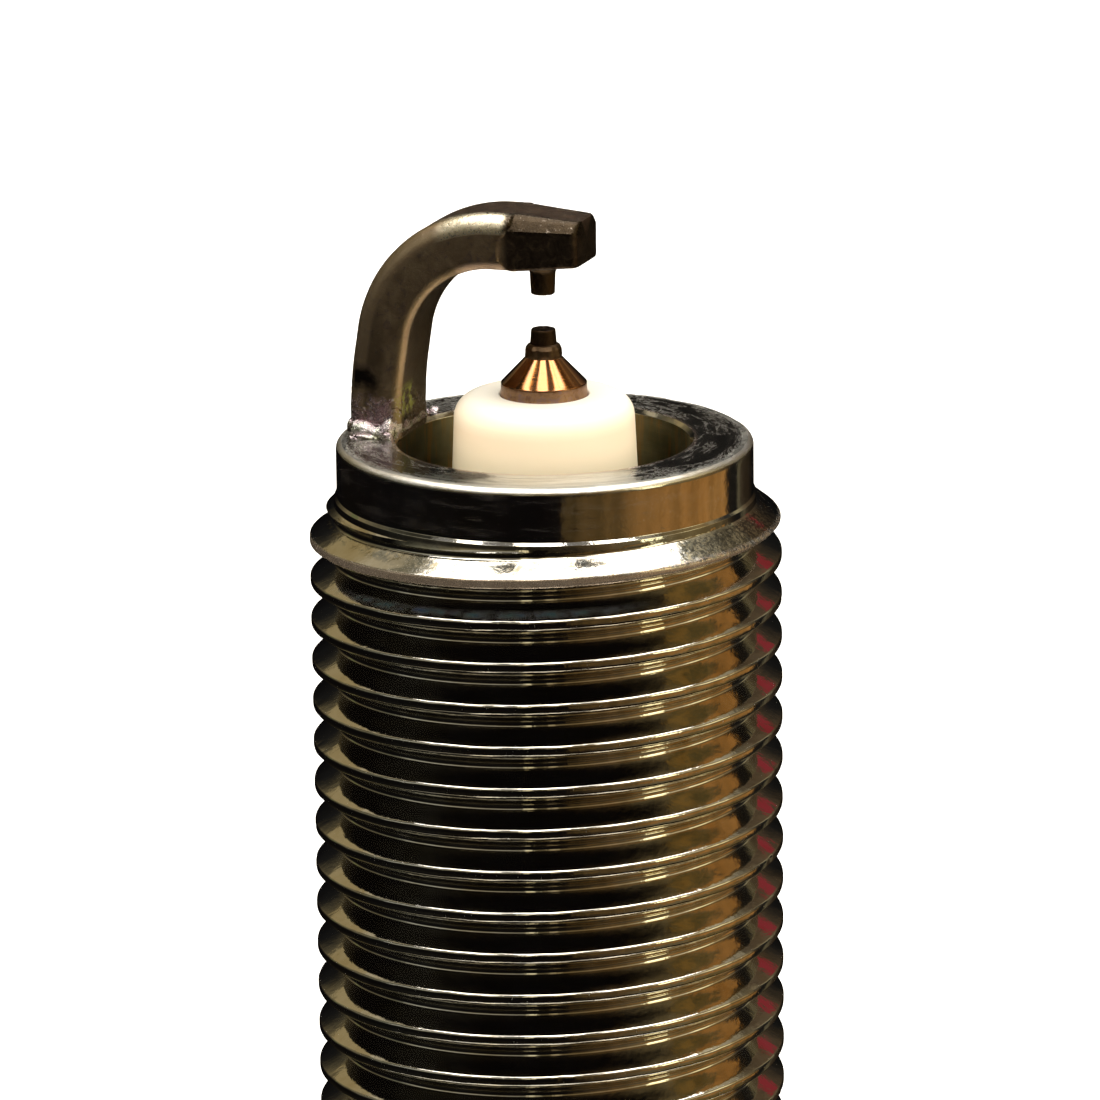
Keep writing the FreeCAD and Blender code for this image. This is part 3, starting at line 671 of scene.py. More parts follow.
def electrode_alloy():
    """Turned alloy, glossy copper-brown above and dull and mottled below."""
    graph = Graph("electrode_alloy")
    place = graph.place()
    z = place.split()[2]
    turning = place.stretch((0.4, 0.4, 40.0)).noise(scale=1.0)
    blotch = place.noise(scale=1.8, detail=3.0, rough=0.6, distort=0.4)
    mottle = place.noise(scale=5.0, detail=4.0, rough=0.65, distort=0.6)
    colour = blotch.ramp([
        (0.3, (0.42, 0.145, 0.022)), (0.55, (0.50, 0.18, 0.030)), (0.8, (0.42, 0.18, 0.060))])
    low = z.fade(28.24, 28.14)
    dull = mottle.ramp([
        (0.35, (0.30, 0.17, 0.11)), (0.5, (0.42, 0.25, 0.14)), (0.65, (0.34, 0.22, 0.20))])
    colour = colour.mix(dull, low)
    rough = blotch.lerp(0.05, 0.10) + low * mottle.lerp(0.26, 0.42)
    normal = (turning + mottle * low * 2.0).bump(strength=0.30, distance=0.000008)
    # the coat is a hard skin with its own white gloss
    return graph.principled(colour, 1.0, rough, normal, Coat_Weight=(1.0 - low) * 0.85,
                            Coat_Roughness=0.07, Coat_IOR=1.8)


def alumina():
    """Ceramic: bare and chalky on the nose, glazed on the terminal side."""
    graph = Graph("alumina")
    place = graph.place()
    z = place.split()[2]
    grain = place.noise(scale=26.0, detail=4.0, rough=0.6)
    blotch = place.noise(scale=0.8)
    rings = place.stretch((0.5, 0.5, 5.0)).noise(scale=1.0)
    colour = (blotch * 0.6 + rings * 0.4).ramp([
        (0.3, (0.91, 0.765, 0.545)), (0.6, (0.94, 0.81, 0.61))])
    # colour along the nose from z = 25 to 29, whitest at its end; the pale low end is painted light
    # that lifts the shade inside the shell's bore
    nose = ((z - 25.0) / 4.0).ramp([
        (0.15, (0.97, 0.885, 0.655)), (0.50, (0.84, 0.675, 0.48)),
        (0.62, (0.91, 0.79, 0.61)), (0.72, (0.97, 0.94, 0.85))])
    colour = colour.mix(nose, 0.85)
    glaze = z.fade(-1.0, -4.0)
    colour = colour.mix((0.49, 0.49, 0.48), glaze)
    rough = (1.0 - glaze) * grain.lerp(0.30, 0.46) + glaze * blotch.lerp(0.05, 0.10)
    normal = grain.bump(strength=0.20, distance=0.000012)
    return graph.principled(
        colour, 0.0, rough, normal, Coat_Weight=glaze * 0.6, Coat_Roughness=0.06, IOR=1.6,
        Subsurface_Weight=0.12, Subsurface_Radius=(0.001, 0.0008, 0.0006),
        Subsurface_Scale=0.4)


def turned_metal(name, dark, light, lines, rough, blotches=0.8, depth=0.00002):
    """Metal with turning lines; lines and blotches are noise scales, depth is the bump's."""
    graph = Graph(name)
    place = graph.place()
    turning = place.stretch((0.15, 0.15, lines)).noise(scale=1.0, detail=4.0, rough=0.6)
    blotch = place.noise(blotches, detail=4.0, rough=0.6, distort=0.4)
    fine = place.noise(scale=12.0, detail=4.0, rough=0.7)
    colour = graph.mix(dark, light, blotch * 0.7 + fine * 0.3)
    normal = (turning + fine * 0.4).bump(strength=0.4, distance=depth)
    return graph.principled(colour, 0.82, (blotch * 0.5 + turning * 0.5).lerp(*rough), normal)


def powder(name, dark, light, scale, rough, metallic=0.0):
    """Granular mass."""
    graph = Graph(name)
    place = graph.place()
    cells = graph.add("TexVoronoi", {"Vector": place, "Scale": scale})
    blotch = place.noise(scale * 0.35, detail=4.0, rough=0.6)
    colour = graph.mix(dark, light, cells * 0.6 + blotch * 0.4)
    normal = (cells + blotch).bump(strength=0.5, distance=0.00004)
    return graph.principled(colour, metallic, blotch.lerp(*rough), normal)


MATERIALS = {
    "plate": shell_plate(),
    "rim": shell_rim(),
    "bore": shell_bore(),
    "strap": strap_alloy(),
    "flash": weld_flash(),
    "pin": precious("ground_pin_metal", dark=(0.06, 0.040, 0.024), light=(0.16, 0.11, 0.066)),
    "tip": precious("centre_tip_metal", dark=(0.035, 0.021, 0.012), light=(0.11, 0.066, 0.038)),
    "bead": precious("tip_weld_metal", dark=(0.05, 0.030, 0.016), light=(0.21, 0.13, 0.07),
                     scale=6.0, rough=(0.26, 0.50)),
    "alloy": electrode_alloy(),
    "ceramic": alumina(),
    "nut": turned_metal("terminal_plate", dark=(0.60, 0.58, 0.53), light=(0.78, 0.76, 0.72),
                        lines=20.0, rough=(0.14, 0.30)),
    "stud": turned_metal("stud_plate", dark=(0.55, 0.55, 0.52), light=(0.72, 0.71, 0.68),
                         lines=16.0, rough=(0.20, 0.36)),
    "gasket": turned_metal("gasket_plate", dark=(0.50, 0.48, 0.43), light=(0.74, 0.72, 0.68),
                           lines=6.0, rough=(0.22, 0.42), blotches=1.2, depth=0.00003),
    "copper": turned_metal("copper_core", dark=(0.70, 0.34, 0.20), light=(0.86, 0.50, 0.34),
                           lines=10.0, rough=(0.22, 0.36)),
    "packing": turned_metal("packing_steel", dark=(0.36, 0.36, 0.37), light=(0.55, 0.55, 0.55),
                            lines=10.0, rough=(0.28, 0.45)),
    "glass": powder("copper_glass", dark=(0.20, 0.10, 0.06), light=(0.52, 0.30, 0.18),
                    scale=9.0, rough=(0.25, 0.5), metallic=0.3),
    "carbon": powder("resistor_mass", dark=(0.03, 0.03, 0.035), light=(0.14, 0.14, 0.15),
                     scale=11.0, rough=(0.5, 0.8)),
    "talc": powder("talc_powder", dark=(0.80, 0.78, 0.74), light=(0.90, 0.89, 0.86),
                   scale=14.0, rough=(0.7, 0.9)),
}

# ------------------------------------------------------------------ shell
SHELL_COUNT = 384                         # points round the shell
CREST_R, ROOT_R = 6.96, 6.22
THREAD_TOP_R, THREAD_TOP = 6.236, 24.66
THREAD_LOW_R, THREAD_LOW = 6.15, 2.70
CREST_TURN = 43.7                         # length along the crest given to one turn
PILOT_R = 6.14                            # plain wall above the thread
RIM_IN_R = 4.40
HEX_FLAT = 8.0                            # half the width across flats
HEX_LOW, HEX_TOP, HEX_END_R = -12.10, -3.90, 7.75
CHAMFER = math.tan(math.radians(30))

# (r, z, rounding): over the end face, down the bore, round the rolled lip, and from the
# hexagon over the seat to the thread
RIM_CORNERS = [
    (THREAD_TOP_R, THREAD_TOP), (6.212, 24.84, 0.03), (PILOT_R, 24.925, 0.03),
    (PILOT_R, SHELL_TOP, 0.22), (RIM_IN_R, SHELL_TOP)]
BORE_CORNERS = [
    (RIM_IN_R, SHELL_TOP), (4.28, 26.38, 0.03), (4.28, 14.0), (3.75, 13.5, 0.03),
    (3.75, 11.6, 0.03), (4.55, 10.9, 0.03), (4.55, -0.6, 0.05), (6.40, -1.9, 0.05),
    (6.40, -12.7)]
LIP_CORNERS = [
    (6.40, -12.70), (6.31, -13.02), (6.00, -13.14), (5.62, -13.16, 0.05),
    (5.48, -13.42, 0.10), (5.62, -13.72, 0.08), (6.15, -13.95, 0.10), (6.85, -13.75, 0.2),
    (7.17, -13.35, 0.2), (7.25, -12.75, 0.1), (7.25, HEX_LOW, 0.12), (HEX_END_R, HEX_LOW)]
SEAT_CORNERS = [
    (HEX_END_R, HEX_TOP), (7.45, HEX_TOP, 0.12), (7.45, -2.62, 0.16), (7.85, -2.32, 0.1),
    (8.85, -2.20, 0.05), (9.45, -1.85, 0.12), (9.45, -0.22, 0.14), (9.20, 0.0, 0.08),
    (THREAD_LOW_R, 0.0, 0.08), (THREAD_LOW_R, THREAD_LOW)]


def hex_heights():
    """Row heights up the hexagon, closer together over its two chamfers."""
    rise = (2 * HEX_FLAT / math.sqrt(3) - HEX_END_R) * CHAMFER
    straight = HEX_TOP - HEX_LOW - 2 * rise
    return ([HEX_LOW + rise * q / 22 for q in range(1, 23)]
            + [HEX_LOW + rise + straight * q / 14 for q in range(1, 15)]
            + [HEX_TOP - rise + rise * q / 22 for q in range(1, 22)])


def shape_thread(radius, z, angle):
    """Nicks and burrs along the crest; the thread runs out to a cone at each end."""
    x, y = np.cos(angle), np.sin(angle)
    turn = np.round((z - (CREST_Z - 30 * PITCH)) / PITCH - angle / (2 * math.pi))
    along = angle * CREST_R + turn * CREST_TURN
    nick = (np.clip(noise(along * 2.1, 0.3, 0.7, 3) - 0.45, 0, 1)
            * np.clip(noise(along * 0.35, 2.0, 0.0, 8) + 0.5, 0, 1))
    crest = fade(radius, 6.72, 6.95)
    radius = radius - crest * (0.055 * nick + 0.007 * (fbm(along * 0.9, 0.0, 5.0, 12) + 0.6))
    sway = crest * 0.012 * fbm(along * 1.7, 7.0, 1.0, 21)
    radius = radius + 0.003 * noise(along * 1.1, z * 3, 0, 2) * (1 - crest)
    top_slope = (CREST_R - THREAD_TOP_R) / (THREAD_TOP - 24.11)
    top_cone = THREAD_TOP_R + (THREAD_TOP - z) * top_slope
    top_cone = top_cone + 0.008 * fbm(x * 6, y * 6, z * 2, 40)
    low_cone = THREAD_LOW_R + (z - THREAD_LOW) * ((CREST_R - THREAD_LOW_R) / 0.60)
    radius = smooth_min(radius, top_cone, 0.05)
    radius = smooth_min(radius, low_cone, 0.04)
    return np.maximum(radius, 6.10), z + sway


def make_shell():
    rim = subdivide(rounded(RIM_CORNERS, 7), 0.12)
    bore = subdivide(rounded(BORE_CORNERS, 4), 0.5)
    lip = subdivide(rounded(LIP_CORNERS, 4), 0.3)
    hexagon = [(9.0, z) for z in hex_heights()]          # shape sets these radii
    seat = subdivide(rounded(SEAT_CORNERS, 4), 0.25)
    rows = rim[:-1] + bore[:-1] + lip + hexagon + seat
    bore_start = len(rim) - 1
    bore_end = bore_start + len(bore) - 1
    hex_rows = slice(bore_end + len(lip), bore_end + len(lip) + len(hexagon))

    def shape(radius, z, angle):
        # hexagon with softened corners at 0, 60, ... degrees, chamfered at both ends
        hex_z = z[hex_rows]
        flats = HEX_FLAT / np.cos(angle[hex_rows] % (math.pi / 3) - math.pi / 6)
        flats = smooth_min(flats, np.full_like(flats, 9.19), 0.10)
        cone = np.minimum(HEX_END_R + (hex_z - HEX_LOW) / CHAMFER,
                          HEX_END_R + (HEX_TOP - hex_z) / CHAMFER)
        radius[hex_rows] = smooth_min(flats, cone, 0.035)
        x, y = np.cos(angle), np.sin(angle)
        # end face: faintly wavy, with a dented outer edge
        face = fade(z, 26.30, 26.49) * fade(radius, 4.30, 4.42)
        z = z + face * (0.010 * fbm(x * radius * 0.9, y * radius * 0.9, 3.0, 5)
                        + 0.004 * fbm(x * radius * 3.2, y * radius * 3.2, 1.0, 9) - 0.006)
        edge = bell(radius, 5.98, 0.12) * fade(z, 26.2, 26.4)
        dents = np.clip(fbm(x * 14, y * 14, 2.0, 31), 0, 1)
        radius = radius - edge * 0.022 * dents
        z = z - edge * 0.020 * dents
        # plain wall: a trace of chatter
        wall = bell(radius, PILOT_R, 0.05) * fade(z, 24.9, 25.0) * (1 - fade(z, 26.1, 26.3))
        radius = radius + wall * (0.0025 * noise(x * 16, y * 16, 0, 4) - 0.0015)
        # unevenly rolled lip
        lip_part = 1 - fade(z, -13.2, -12.6)
        radius = radius + lip_part * 0.02 * noise(x * 3, y * 3, 0, 14)
        # burrs on the bore's chamfer
        burr = bell(radius, 4.34, 0.07) * fade(z, 26.30, 26.42)
        radius = radius - burr * 0.010 * np.clip(fbm(x * 9, y * 9, 0.5, 77), 0, 1)
        # the rings that the thread joins stay true
        radius[0], z[0] = THREAD_TOP_R, THREAD_TOP
        radius[-1], z[-1] = THREAD_LOW_R, THREAD_LOW
        return radius, z

    verts, faces = lathe(rows, SHELL_COUNT, shape=shape)
    indices = []
    for i in range(len(rows) - 1):
        radius = 0.5 * (rows[i][0] + rows[i + 1][0])
        z = 0.5 * (rows[i][1] + rows[i + 1][1])
        if z > 26.44 and 4.39 < radius < 5.99:
            index = 1
        elif bore_start <= i < bore_end and z < 26.3:
            index = 2
        else:
            index = 0
        indices += [index] * SHELL_COUNT
    outline = thread_outline(CREST_R, ROOT_R, PITCH, land=0.23, crest_round=0.13,
                             root_round=0.10, flank=3, segments=6)
    verts, faces = add_thread(
        verts, faces, outline, PITCH, start_z=CREST_Z - 30 * PITCH, low_z=THREAD_LOW,
        high_z=THREAD_TOP, count=SHELL_COUNT, shape=shape_thread,
        low_ring=(len(rows) - 1) * SHELL_COUNT, high_ring=0)
    indices += [0] * (len(faces) - len(indices))
    build("shell_body", verts, faces, node="shell", slot="shell_plating",
          materials=("plate", "rim", "bore"), indices=indices)


make_shell()

# ------------------------------------------------------------------ ground strap
# The path follows the strap's bore-side face and then its underside.
HALF_WIDTH, THICK, OUTER_ROUND = 1.275, 1.65, 0.50
FOOT_X, FOOT_TOP = -4.10, 27.0            # the leg starts to lean at this height
LEAN, LEAN_R = math.radians(9.0), 11.0
UNDER_Z, BEND_R = 31.70, 2.70
LEAN_X = FOOT_X + LEAN_R * (1 - math.cos(LEAN))
LEAN_Z = FOOT_TOP + LEAN_R * math.sin(LEAN)
BEND_Z = UNDER_Z - BEND_R
BEND_START_Z = BEND_Z + BEND_R * math.sin(LEAN)
BEND_START_X = LEAN_X + math.tan(LEAN) * (BEND_START_Z - LEAN_Z)
BEND_X = BEND_START_X + BEND_R * math.cos(LEAN)
PAD_START, STRAP_END, END_ROUND = -0.90, 1.38, 0.21
ROUND_START = STRAP_END - END_ROUND
UNDER_SLOPE, UNDER_DELAY = 0.09, 0.35     # rise of the pad's underside
TOP_SLOPE, TOP_DELAY = 0.075, 0.25        # fall of its top
STEP = 0.055


def strap_path():
    """Points (x, z, tilt); the tilt is 0 on the upright leg and 90 degrees on the top run."""
    points = []
    level = math.pi / 2

    def line(start_x, start_z, end_x, end_z, tilt):
        count = max(1, int(math.hypot(end_x - start_x, end_z - start_z) / STEP))
        for q in range(count):
            points.append((start_x + (end_x - start_x) * q / count,
                           start_z + (end_z - start_z) * q / count, tilt))

    line(FOOT_X, 26.42, FOOT_X, FOOT_TOP, 0.0)
    count = int(LEAN_R * LEAN / STEP)
    for q in range(count):
        tilt = LEAN * q / count
        points.append((FOOT_X + LEAN_R * (1 - math.cos(tilt)),
                       FOOT_TOP + LEAN_R * math.sin(tilt), tilt))
    line(LEAN_X, LEAN_Z, BEND_START_X, BEND_START_Z, LEAN)
    # 1.4 keeps the rows close enough on the outside of the bend
    count = int(BEND_R * 1.4 * (level - LEAN) / STEP)
    for q in range(count):
        tilt = LEAN + (level - LEAN) * q / count
        points.append((BEND_X - BEND_R * math.cos(tilt), BEND_Z + BEND_R * math.sin(tilt), tilt))
    line(BEND_X, UNDER_Z, PAD_START - 0.20, UNDER_Z, level)
    x = PAD_START - 0.20
    while x < PAD_START + 0.70:
        points.append((x, UNDER_Z, level))
        x += 0.03
    while x < ROUND_START - STEP:
        points.append((x, UNDER_Z, level))
        x += STEP
    for part in (0.0, 0.3, 0.55, 0.75, 0.9, 0.97, 1.0):
        points.append((ROUND_START + END_ROUND * part, UNDER_Z, level))
    return points


def section(half, low, high, inner_round):
    """The bar's outline as 76 points (across the thickness, along the width)."""
    points = []

    def arc(centre, start, end, count):
        angle = math.atan2(start[0] - centre[0], start[1] - centre[1])
        sweep = math.atan2(end[0] - centre[0], end[1] - centre[1]) - angle
        sweep = (sweep + math.pi) % (2 * math.pi) - math.pi
        radius = math.hypot(start[0] - centre[0], start[1] - centre[1])
        for q in range(1, count):
            turn = angle + sweep * q / count
            points.append((centre[0] + radius * math.sin(turn),
                           centre[1] + radius * math.cos(turn)))

    def line(start, end, count):
        for q in range(count + 1):
            points.append((start[0] + (end[0] - start[0]) * q / count,
                           start[1] + (end[1] - start[1]) * q / count))

    in_across, in_along = low + inner_round, half - inner_round
    out_across, out_along = high - OUTER_ROUND, half - OUTER_ROUND
    line((low, -in_along), (low, in_along), 14)
    arc((in_across, in_along), (low, in_along), (in_across, half), 6)
    line((in_across, half), (out_across, half), 8)
    arc((out_across, out_along), (out_across, half), (high, out_along), 9)
    line((high, out_along), (high, -out_along), 16)
    arc((out_across, -out_along), (high, -out_along), (out_across, -half), 9)
    line((out_across, -half), (in_across, -half), 8)
    arc((in_across, -in_along), (in_across, -half), (low, -in_along), 6)
    return points


def pad_section(half, low, high, inner_round, part):
    """The pressed end's outline, with two soft facets along each top side."""
    plain = section(half, low, high, inner_round)
    facet_low = 0.45 - 0.15 * part        # lower edge of the facets, below the top
    facet_mid = 0.145 - 0.095 * part      # ridge between the facets, below the top
    facet_in = 0.45 - 0.10 * part         # upper edge, in from the side
    base, top_half = low + inner_round, half - facet_in
    start = np.array((high - facet_low, half))
    ridge = np.array((high - facet_mid, half - 0.22))
    end = np.array((high, top_half))
    facets = []
    for i in range(1, 9):
        u = i / 9
        if u < 0.5:
            flat = start + (ridge - start) * (u * 2)
        else:
            flat = ridge + (end - ridge) * (u * 2 - 1)
        curve = start * (1 - u) ** 2 + 2 * ridge * u * (1 - u) + end * u ** 2
        facets.append(tuple(0.75 * flat + 0.25 * curve))
    side_top = high - facet_low
    return (plain[:20]
            + [(base + (side_top - base) * i / 8, half) for i in range(9)]
            + facets
            + [(high, top_half * (1 - i / 8)) for i in range(17)]
            + [(across, -along) for across, along in reversed(facets)]
            + [(side_top + (base - side_top) * i / 8, -half) for i in range(9)]
            + plain[71:])


def strap_outline(x, tilt):
    """Outline at one place on the path: the plain bar, turning into the pressed pad."""
    bar = section(HALF_WIDTH, 0.0, THICK, 0.32)
    if not (x > PAD_START - 0.25 and tilt > 1.5):
        return bar
    part = min(max(x - PAD_START, 0.0) / (ROUND_START - PAD_START), 1.0)
    half = 1.215 + (1.00 - 1.215) * part
    tip = max(0.0, (x - ROUND_START) / END_ROUND)
    half -= END_ROUND * (1 - math.sqrt(max(0.0, 1 - tip * tip)))
    low = max(0.0, UNDER_SLOPE * (x - PAD_START - UNDER_DELAY)) + 0.03 * max(0.0, tip - 0.6)
    high = (THICK - max(0.0, TOP_SLOPE * (x - PAD_START - TOP_DELAY))
            - 0.05 * max(0.0, tip - 0.6))
    out = []
    for (across, along), pad in zip(bar, pad_section(half, low, high, 0.12, part)):
        # the shoulder starts further along at the top and underside than half-way up
        shoulder = (PAD_START - 0.05 + 0.36 * float(fade(across, 0.75, 1.45))
                    + 0.30 * float(fade(across, 0.50, 0.0)))
        share = float(fade(x, shoulder - 0.05, shoulder + 0.06))
        out.append((across + (pad[0] - across) * share, along + (pad[1] - along) * share))
    return out


def make_strap():
    rows = []
    for x, z, tilt in strap_path():
        out_x, out_z = -math.cos(tilt), math.sin(tilt)
        rows.append([(x + out_x * across, along, z + out_z * across)
                     for across, along in strap_outline(x, tilt)])
    grid = np.array(rows)
    rings, count = grid.shape[:2]
    x, y, z = grid[..., 0], grid[..., 1], grid[..., 2]
    outward = grid - grid.mean(1, keepdims=True)
    outward = outward / np.linalg.norm(outward, axis=2, keepdims=True)
    swell = 0.006 * fbm(x * 2.2, y * 2.2, z * 2.2, 3) + 0.0035 * fbm(x * 7, y * 7, z * 7, 13)
    pad = fade(x, PAD_START - 0.1, PAD_START + 0.2)
    swell = swell + 0.012 * fbm(x * 4.0, y * 4.0, z * 4.0, 33) * pad
    # swelling and ripples just above the weld
    foot = 1 - fade(z, 27.0, 28.2)
    swell = swell + foot * (0.018 * fbm(x * 1.6, y * 1.6, z * 3.5, 23) + 0.010)
    ripple = np.sin((z - 27.95) * 26.0 + 2.0 * noise(x * 2, y * 2, 0, 6))
    swell = swell + 0.010 * bell(z, 27.95, 0.22) * ripple * fade(-y, 0.6, 1.1)
    grid = grid + outward * swell[..., None]

    # both ends close as fans; the free end's middle stands out slightly
    foot_centre, end_centre = grid[0].mean(0), grid[-1].mean(0)
    end_centre[0] += 0.002
    total, last = rings * count, (rings - 1) * count
    verts = np.concatenate([grid.reshape(-1, 3), [foot_centre, end_centre]])
    faces = grid_faces(rings, count)
    faces += [(total, (j + 1) % count, j) for j in range(count)]
    faces += [(total + 1, last + j, last + (j + 1) % count) for j in range(count)]

    # part of the outline each point belongs to, as strap_alloy reads it
    zone = np.zeros((count, 4))
    zone[:15, 3] = 1
    zone[15:20, 0] = zone[-5:, 0] = 1
    zone[28:38, 1] = zone[53:63, 1] = 1
    zone[38:53, 2] = 1
    zone[14, 0] = zone[20, 0] = 0.35
    zone = np.concatenate([np.tile(zone, (rings, 1)), [[0, 0, 0, 1]] * 2])
    build("ground_electrode_strap", verts, faces, node="ground_electrode",
          slot="strap_alloy", materials=("strap",), sharp=34, zone=zone)


make_strap()

# ------------------------------------------------------------------ weld round the strap's foot
# section of the roll: (share of the width, share of the height)
FLASH_SECTION = [
    (-0.09, 1.02), (-0.01, 1.03), (0.18, 0.99), (0.42, 0.92), (0.66, 0.80), (0.85, 0.64),
    (0.97, 0.45), (1.0, 0.28), (0.96, 0.13), (0.86, 0.02), (0.80, -0.10)]
# runs of melt on the rim: centre, half sizes, turn about z, seed, unevenness
MELT = [
    ((-4.52, 1.72, 26.50), (0.24, 0.36, 0.17), 0.15, 71, 0.5),
    ((-4.30, 2.30, 26.48), (0.17, 0.34, 0.13), 0.45, 72, 0.6),
    ((-4.95, 1.78, 26.49), (0.26, 0.20, 0.11), 0.0, 73, 0.6),
    ((-4.36, -1.50, 26.50), (0.20, 0.17, 0.20), 0.3, 74, 0.4),
    ((-5.15, -1.62, 26.49), (0.42, 0.13, 0.12), 0.10, 75, 0.5),
]
FLASH_COUNT, FLASH_INSET, FLASH_BASE = 260, 0.07, 26.46
BLOB_RINGS, BLOB_COUNT = 19, 36


def flash_roll():
    """Grid of a ragged roll, wide on the near and far sides and thin on the bore side."""
    base = np.array([(FOOT_X - across, along)
                     for across, along in section(HALF_WIDTH, 0.0, THICK, 0.28)])
    # even spacing along the outline
    lengths = np.linalg.norm(np.roll(base, -1, 0) - base, axis=1)
    marks = np.concatenate([[0], np.cumsum(lengths)])
    along = np.linspace(0, marks[-1], FLASH_COUNT, endpoint=False)
    x, y = (np.interp(along, marks, np.append(base[:, axis], base[0, axis]))
            for axis in (0, 1))
    way_x, way_y = np.roll(x, -1) - np.roll(x, 1), np.roll(y, -1) - np.roll(y, 1)
    length = np.hypot(way_x, way_y)
    out_x, out_y = way_y / length, -way_x / length
    flip = np.sign((x - x.mean()) * out_x + (y - y.mean()) * out_y)
    out_x, out_y = out_x * flip, out_y * flip
    angle = along / marks[-1] * 2 * math.pi
    loop_x, loop_y = np.cos(angle) * 2.4, np.sin(angle) * 2.4

    bore_side = fade(x, -4.36, -4.16)
    near, far = fade(-y, 1.05, 1.26), fade(y, 1.05, 1.26)
    outer = fade(-x, 5.5, 5.74)
    width = 0.13 + 0.05 * fbm(loop_x, loop_y, 0.0, 51) + 0.10 * near + 0.09 * far
    height = (0.28 + 0.12 * fbm(loop_x * 1.3, loop_y * 1.3, 2.0, 52) + 0.10 * near
              + 0.05 * outer + 0.10 * far)
    width = width + 0.08 * near * bell(x, -5.05, 0.5) + 0.05 * near * bell(x, -4.4, 0.2)
    height = height + 0.16 * near * bell(x, -4.35, 0.25) + 0.10 * near * bell(x, -5.3, 0.3)
    thin = 0.025 + 0.02 * fbm(loop_x * 2, loop_y * 2, 4.0, 53)
    tall = 0.40 + 0.16 * fbm(loop_x * 2, loop_y * 2, 6.0, 54)
    width = width * (1 - bore_side) + thin * bore_side
    height = height * (1 - bore_side) + tall * bore_side

    rows = []
    for i, (across, up) in enumerate(FLASH_SECTION):
        out = width * across if across > 0 else np.full(FLASH_COUNT, -FLASH_INSET)
        z = SHELL_TOP + height * up if up >= 0 else np.full(FLASH_COUNT, FLASH_BASE)
        if 0 < i < 9:
            lump = 0.022 * fbm(x * 3 + across, y * 3, up * 3 + 1, 61)
            out = out + lump
            z = z + 0.6 * lump
        rows.append(np.stack([x + out_x * out, y + out_y * out, z], 1))
    rows.append(np.stack([x - out_x * FLASH_INSET, y - out_y * FLASH_INSET,
                          np.full(FLASH_COUNT, FLASH_BASE)], 1))
    grid = np.array(rows)
    # between the bore and the rim's outer edge, apart from the two rows inside the strap
    radius = np.hypot(grid[..., 0], grid[..., 1])
    least = np.where(grid[..., 2] < 26.56, 4.31, 4.05)
    fit = np.clip(radius, least, 6.02) / radius
    fit[0] = fit[-1] = 1.0
    grid[..., :2] *= fit[..., None]
    return grid


def melt_blob(centre, half_sizes, turn, seed, uneven):
    polar = (math.pi * np.arange(BLOB_RINGS) / (BLOB_RINGS - 1))[:, None]
    angle = (2 * math.pi * np.arange(BLOB_COUNT) / BLOB_COUNT)[None]
    ball = np.stack(np.broadcast_arrays(
        np.sin(polar) * np.cos(angle), np.sin(polar) * np.sin(angle), np.cos(polar)), -1)
    swell = 1 + uneven * fbm(*(ball[..., axis] * 1.4 for axis in range(3)), seed)
    x, y, z = (ball[..., axis] * half_sizes[axis] * swell for axis in range(3))
    return np.stack([centre[0] + x * math.cos(turn) - y * math.sin(turn),
                     centre[1] + x * math.sin(turn) + y * math.cos(turn),
                     centre[2] + z], -1).reshape(-1, 3)


def make_flash():
    grid = flash_roll()
    verts = [grid.reshape(-1, 3)]
    faces = grid_faces(len(grid), FLASH_COUNT, closed=True)
    base = len(verts[0])
    for blob in MELT:
        verts.append(melt_blob(*blob))
        faces += [tuple(base + i for i in face) for face in grid_faces(BLOB_RINGS, BLOB_COUNT)]
        base += len(verts[-1])
    build("strap_weld_flash", np.concatenate(verts), faces, slot="weld_metal",
          node="ground_electrode_weld_flash", materials=("flash",), sharp=60)


make_flash()

# ------------------------------------------------------------------ ground pin
# the pad's underside at the axis
PIN_Z = UNDER_Z + UNDER_SLOPE * (-PAD_START - UNDER_DELAY)
PIN_END = 30.85


def make_pin():
    outline = rounded([
        (0, PIN_Z + 0.22), (0.39, PIN_Z + 0.22, 0.02), (0.39, PIN_Z - 0.10), (0.383, 31.45),
        (0.356, PIN_END, 0.045), (0, PIN_END)])

    def shape(radius, z, angle):
        x, y = np.cos(angle), np.sin(angle)
        rough = 0.006 * fbm(x * 2.0, y * 2.0, z * 2.2, 91) + 0.003 * fbm(x * 7, y * 7, z * 9, 92)
        end = 0.006 * noise(x * radius * 8, y * radius * 8, 0, 95) * (z < PIN_END + 0.01)
        return radius + (radius > 0.02) * (rough - 0.003), z + end

    turned("ground_pin", subdivide(outline, 0.05), 72, shape, node="ground_electrode_tip",
           slot="precious_metal", materials=("pin",))


def make_pin_weld():
    outline = rounded([
        (0.33, PIN_Z + 0.02), (0.56, PIN_Z + 0.02), (0.545, PIN_Z - 0.055, 0.03),
        (0.46, PIN_Z - 0.105, 0.05), (0.402, PIN_Z - 0.19, 0.05), (0.385, PIN_Z - 0.25),
        (0.33, PIN_Z - 0.25)], 4)

    def shape(radius, z, angle):
        x, y = np.cos(angle), np.sin(angle)
        outside = fade(radius, 0.37, 0.42)
        # the top follows the pad's sloping underside
        slope = UNDER_SLOPE * radius * x * fade(z, PIN_Z - 0.2, PIN_Z)
        return (radius + outside * 0.022 * fbm(x * 2.6, y * 2.6, z * 5, 101),
                z + outside * 0.010 * fbm(x * 3, y * 3, 1, 102) + slope)

    turned("ground_pin_weld", subdivide(outline, 0.03, True), 96, shape, closed=True,
           node="ground_tip_weld", slot="weld_metal", materials=("pin",), sharp=50)


make_pin()
make_pin_weld()

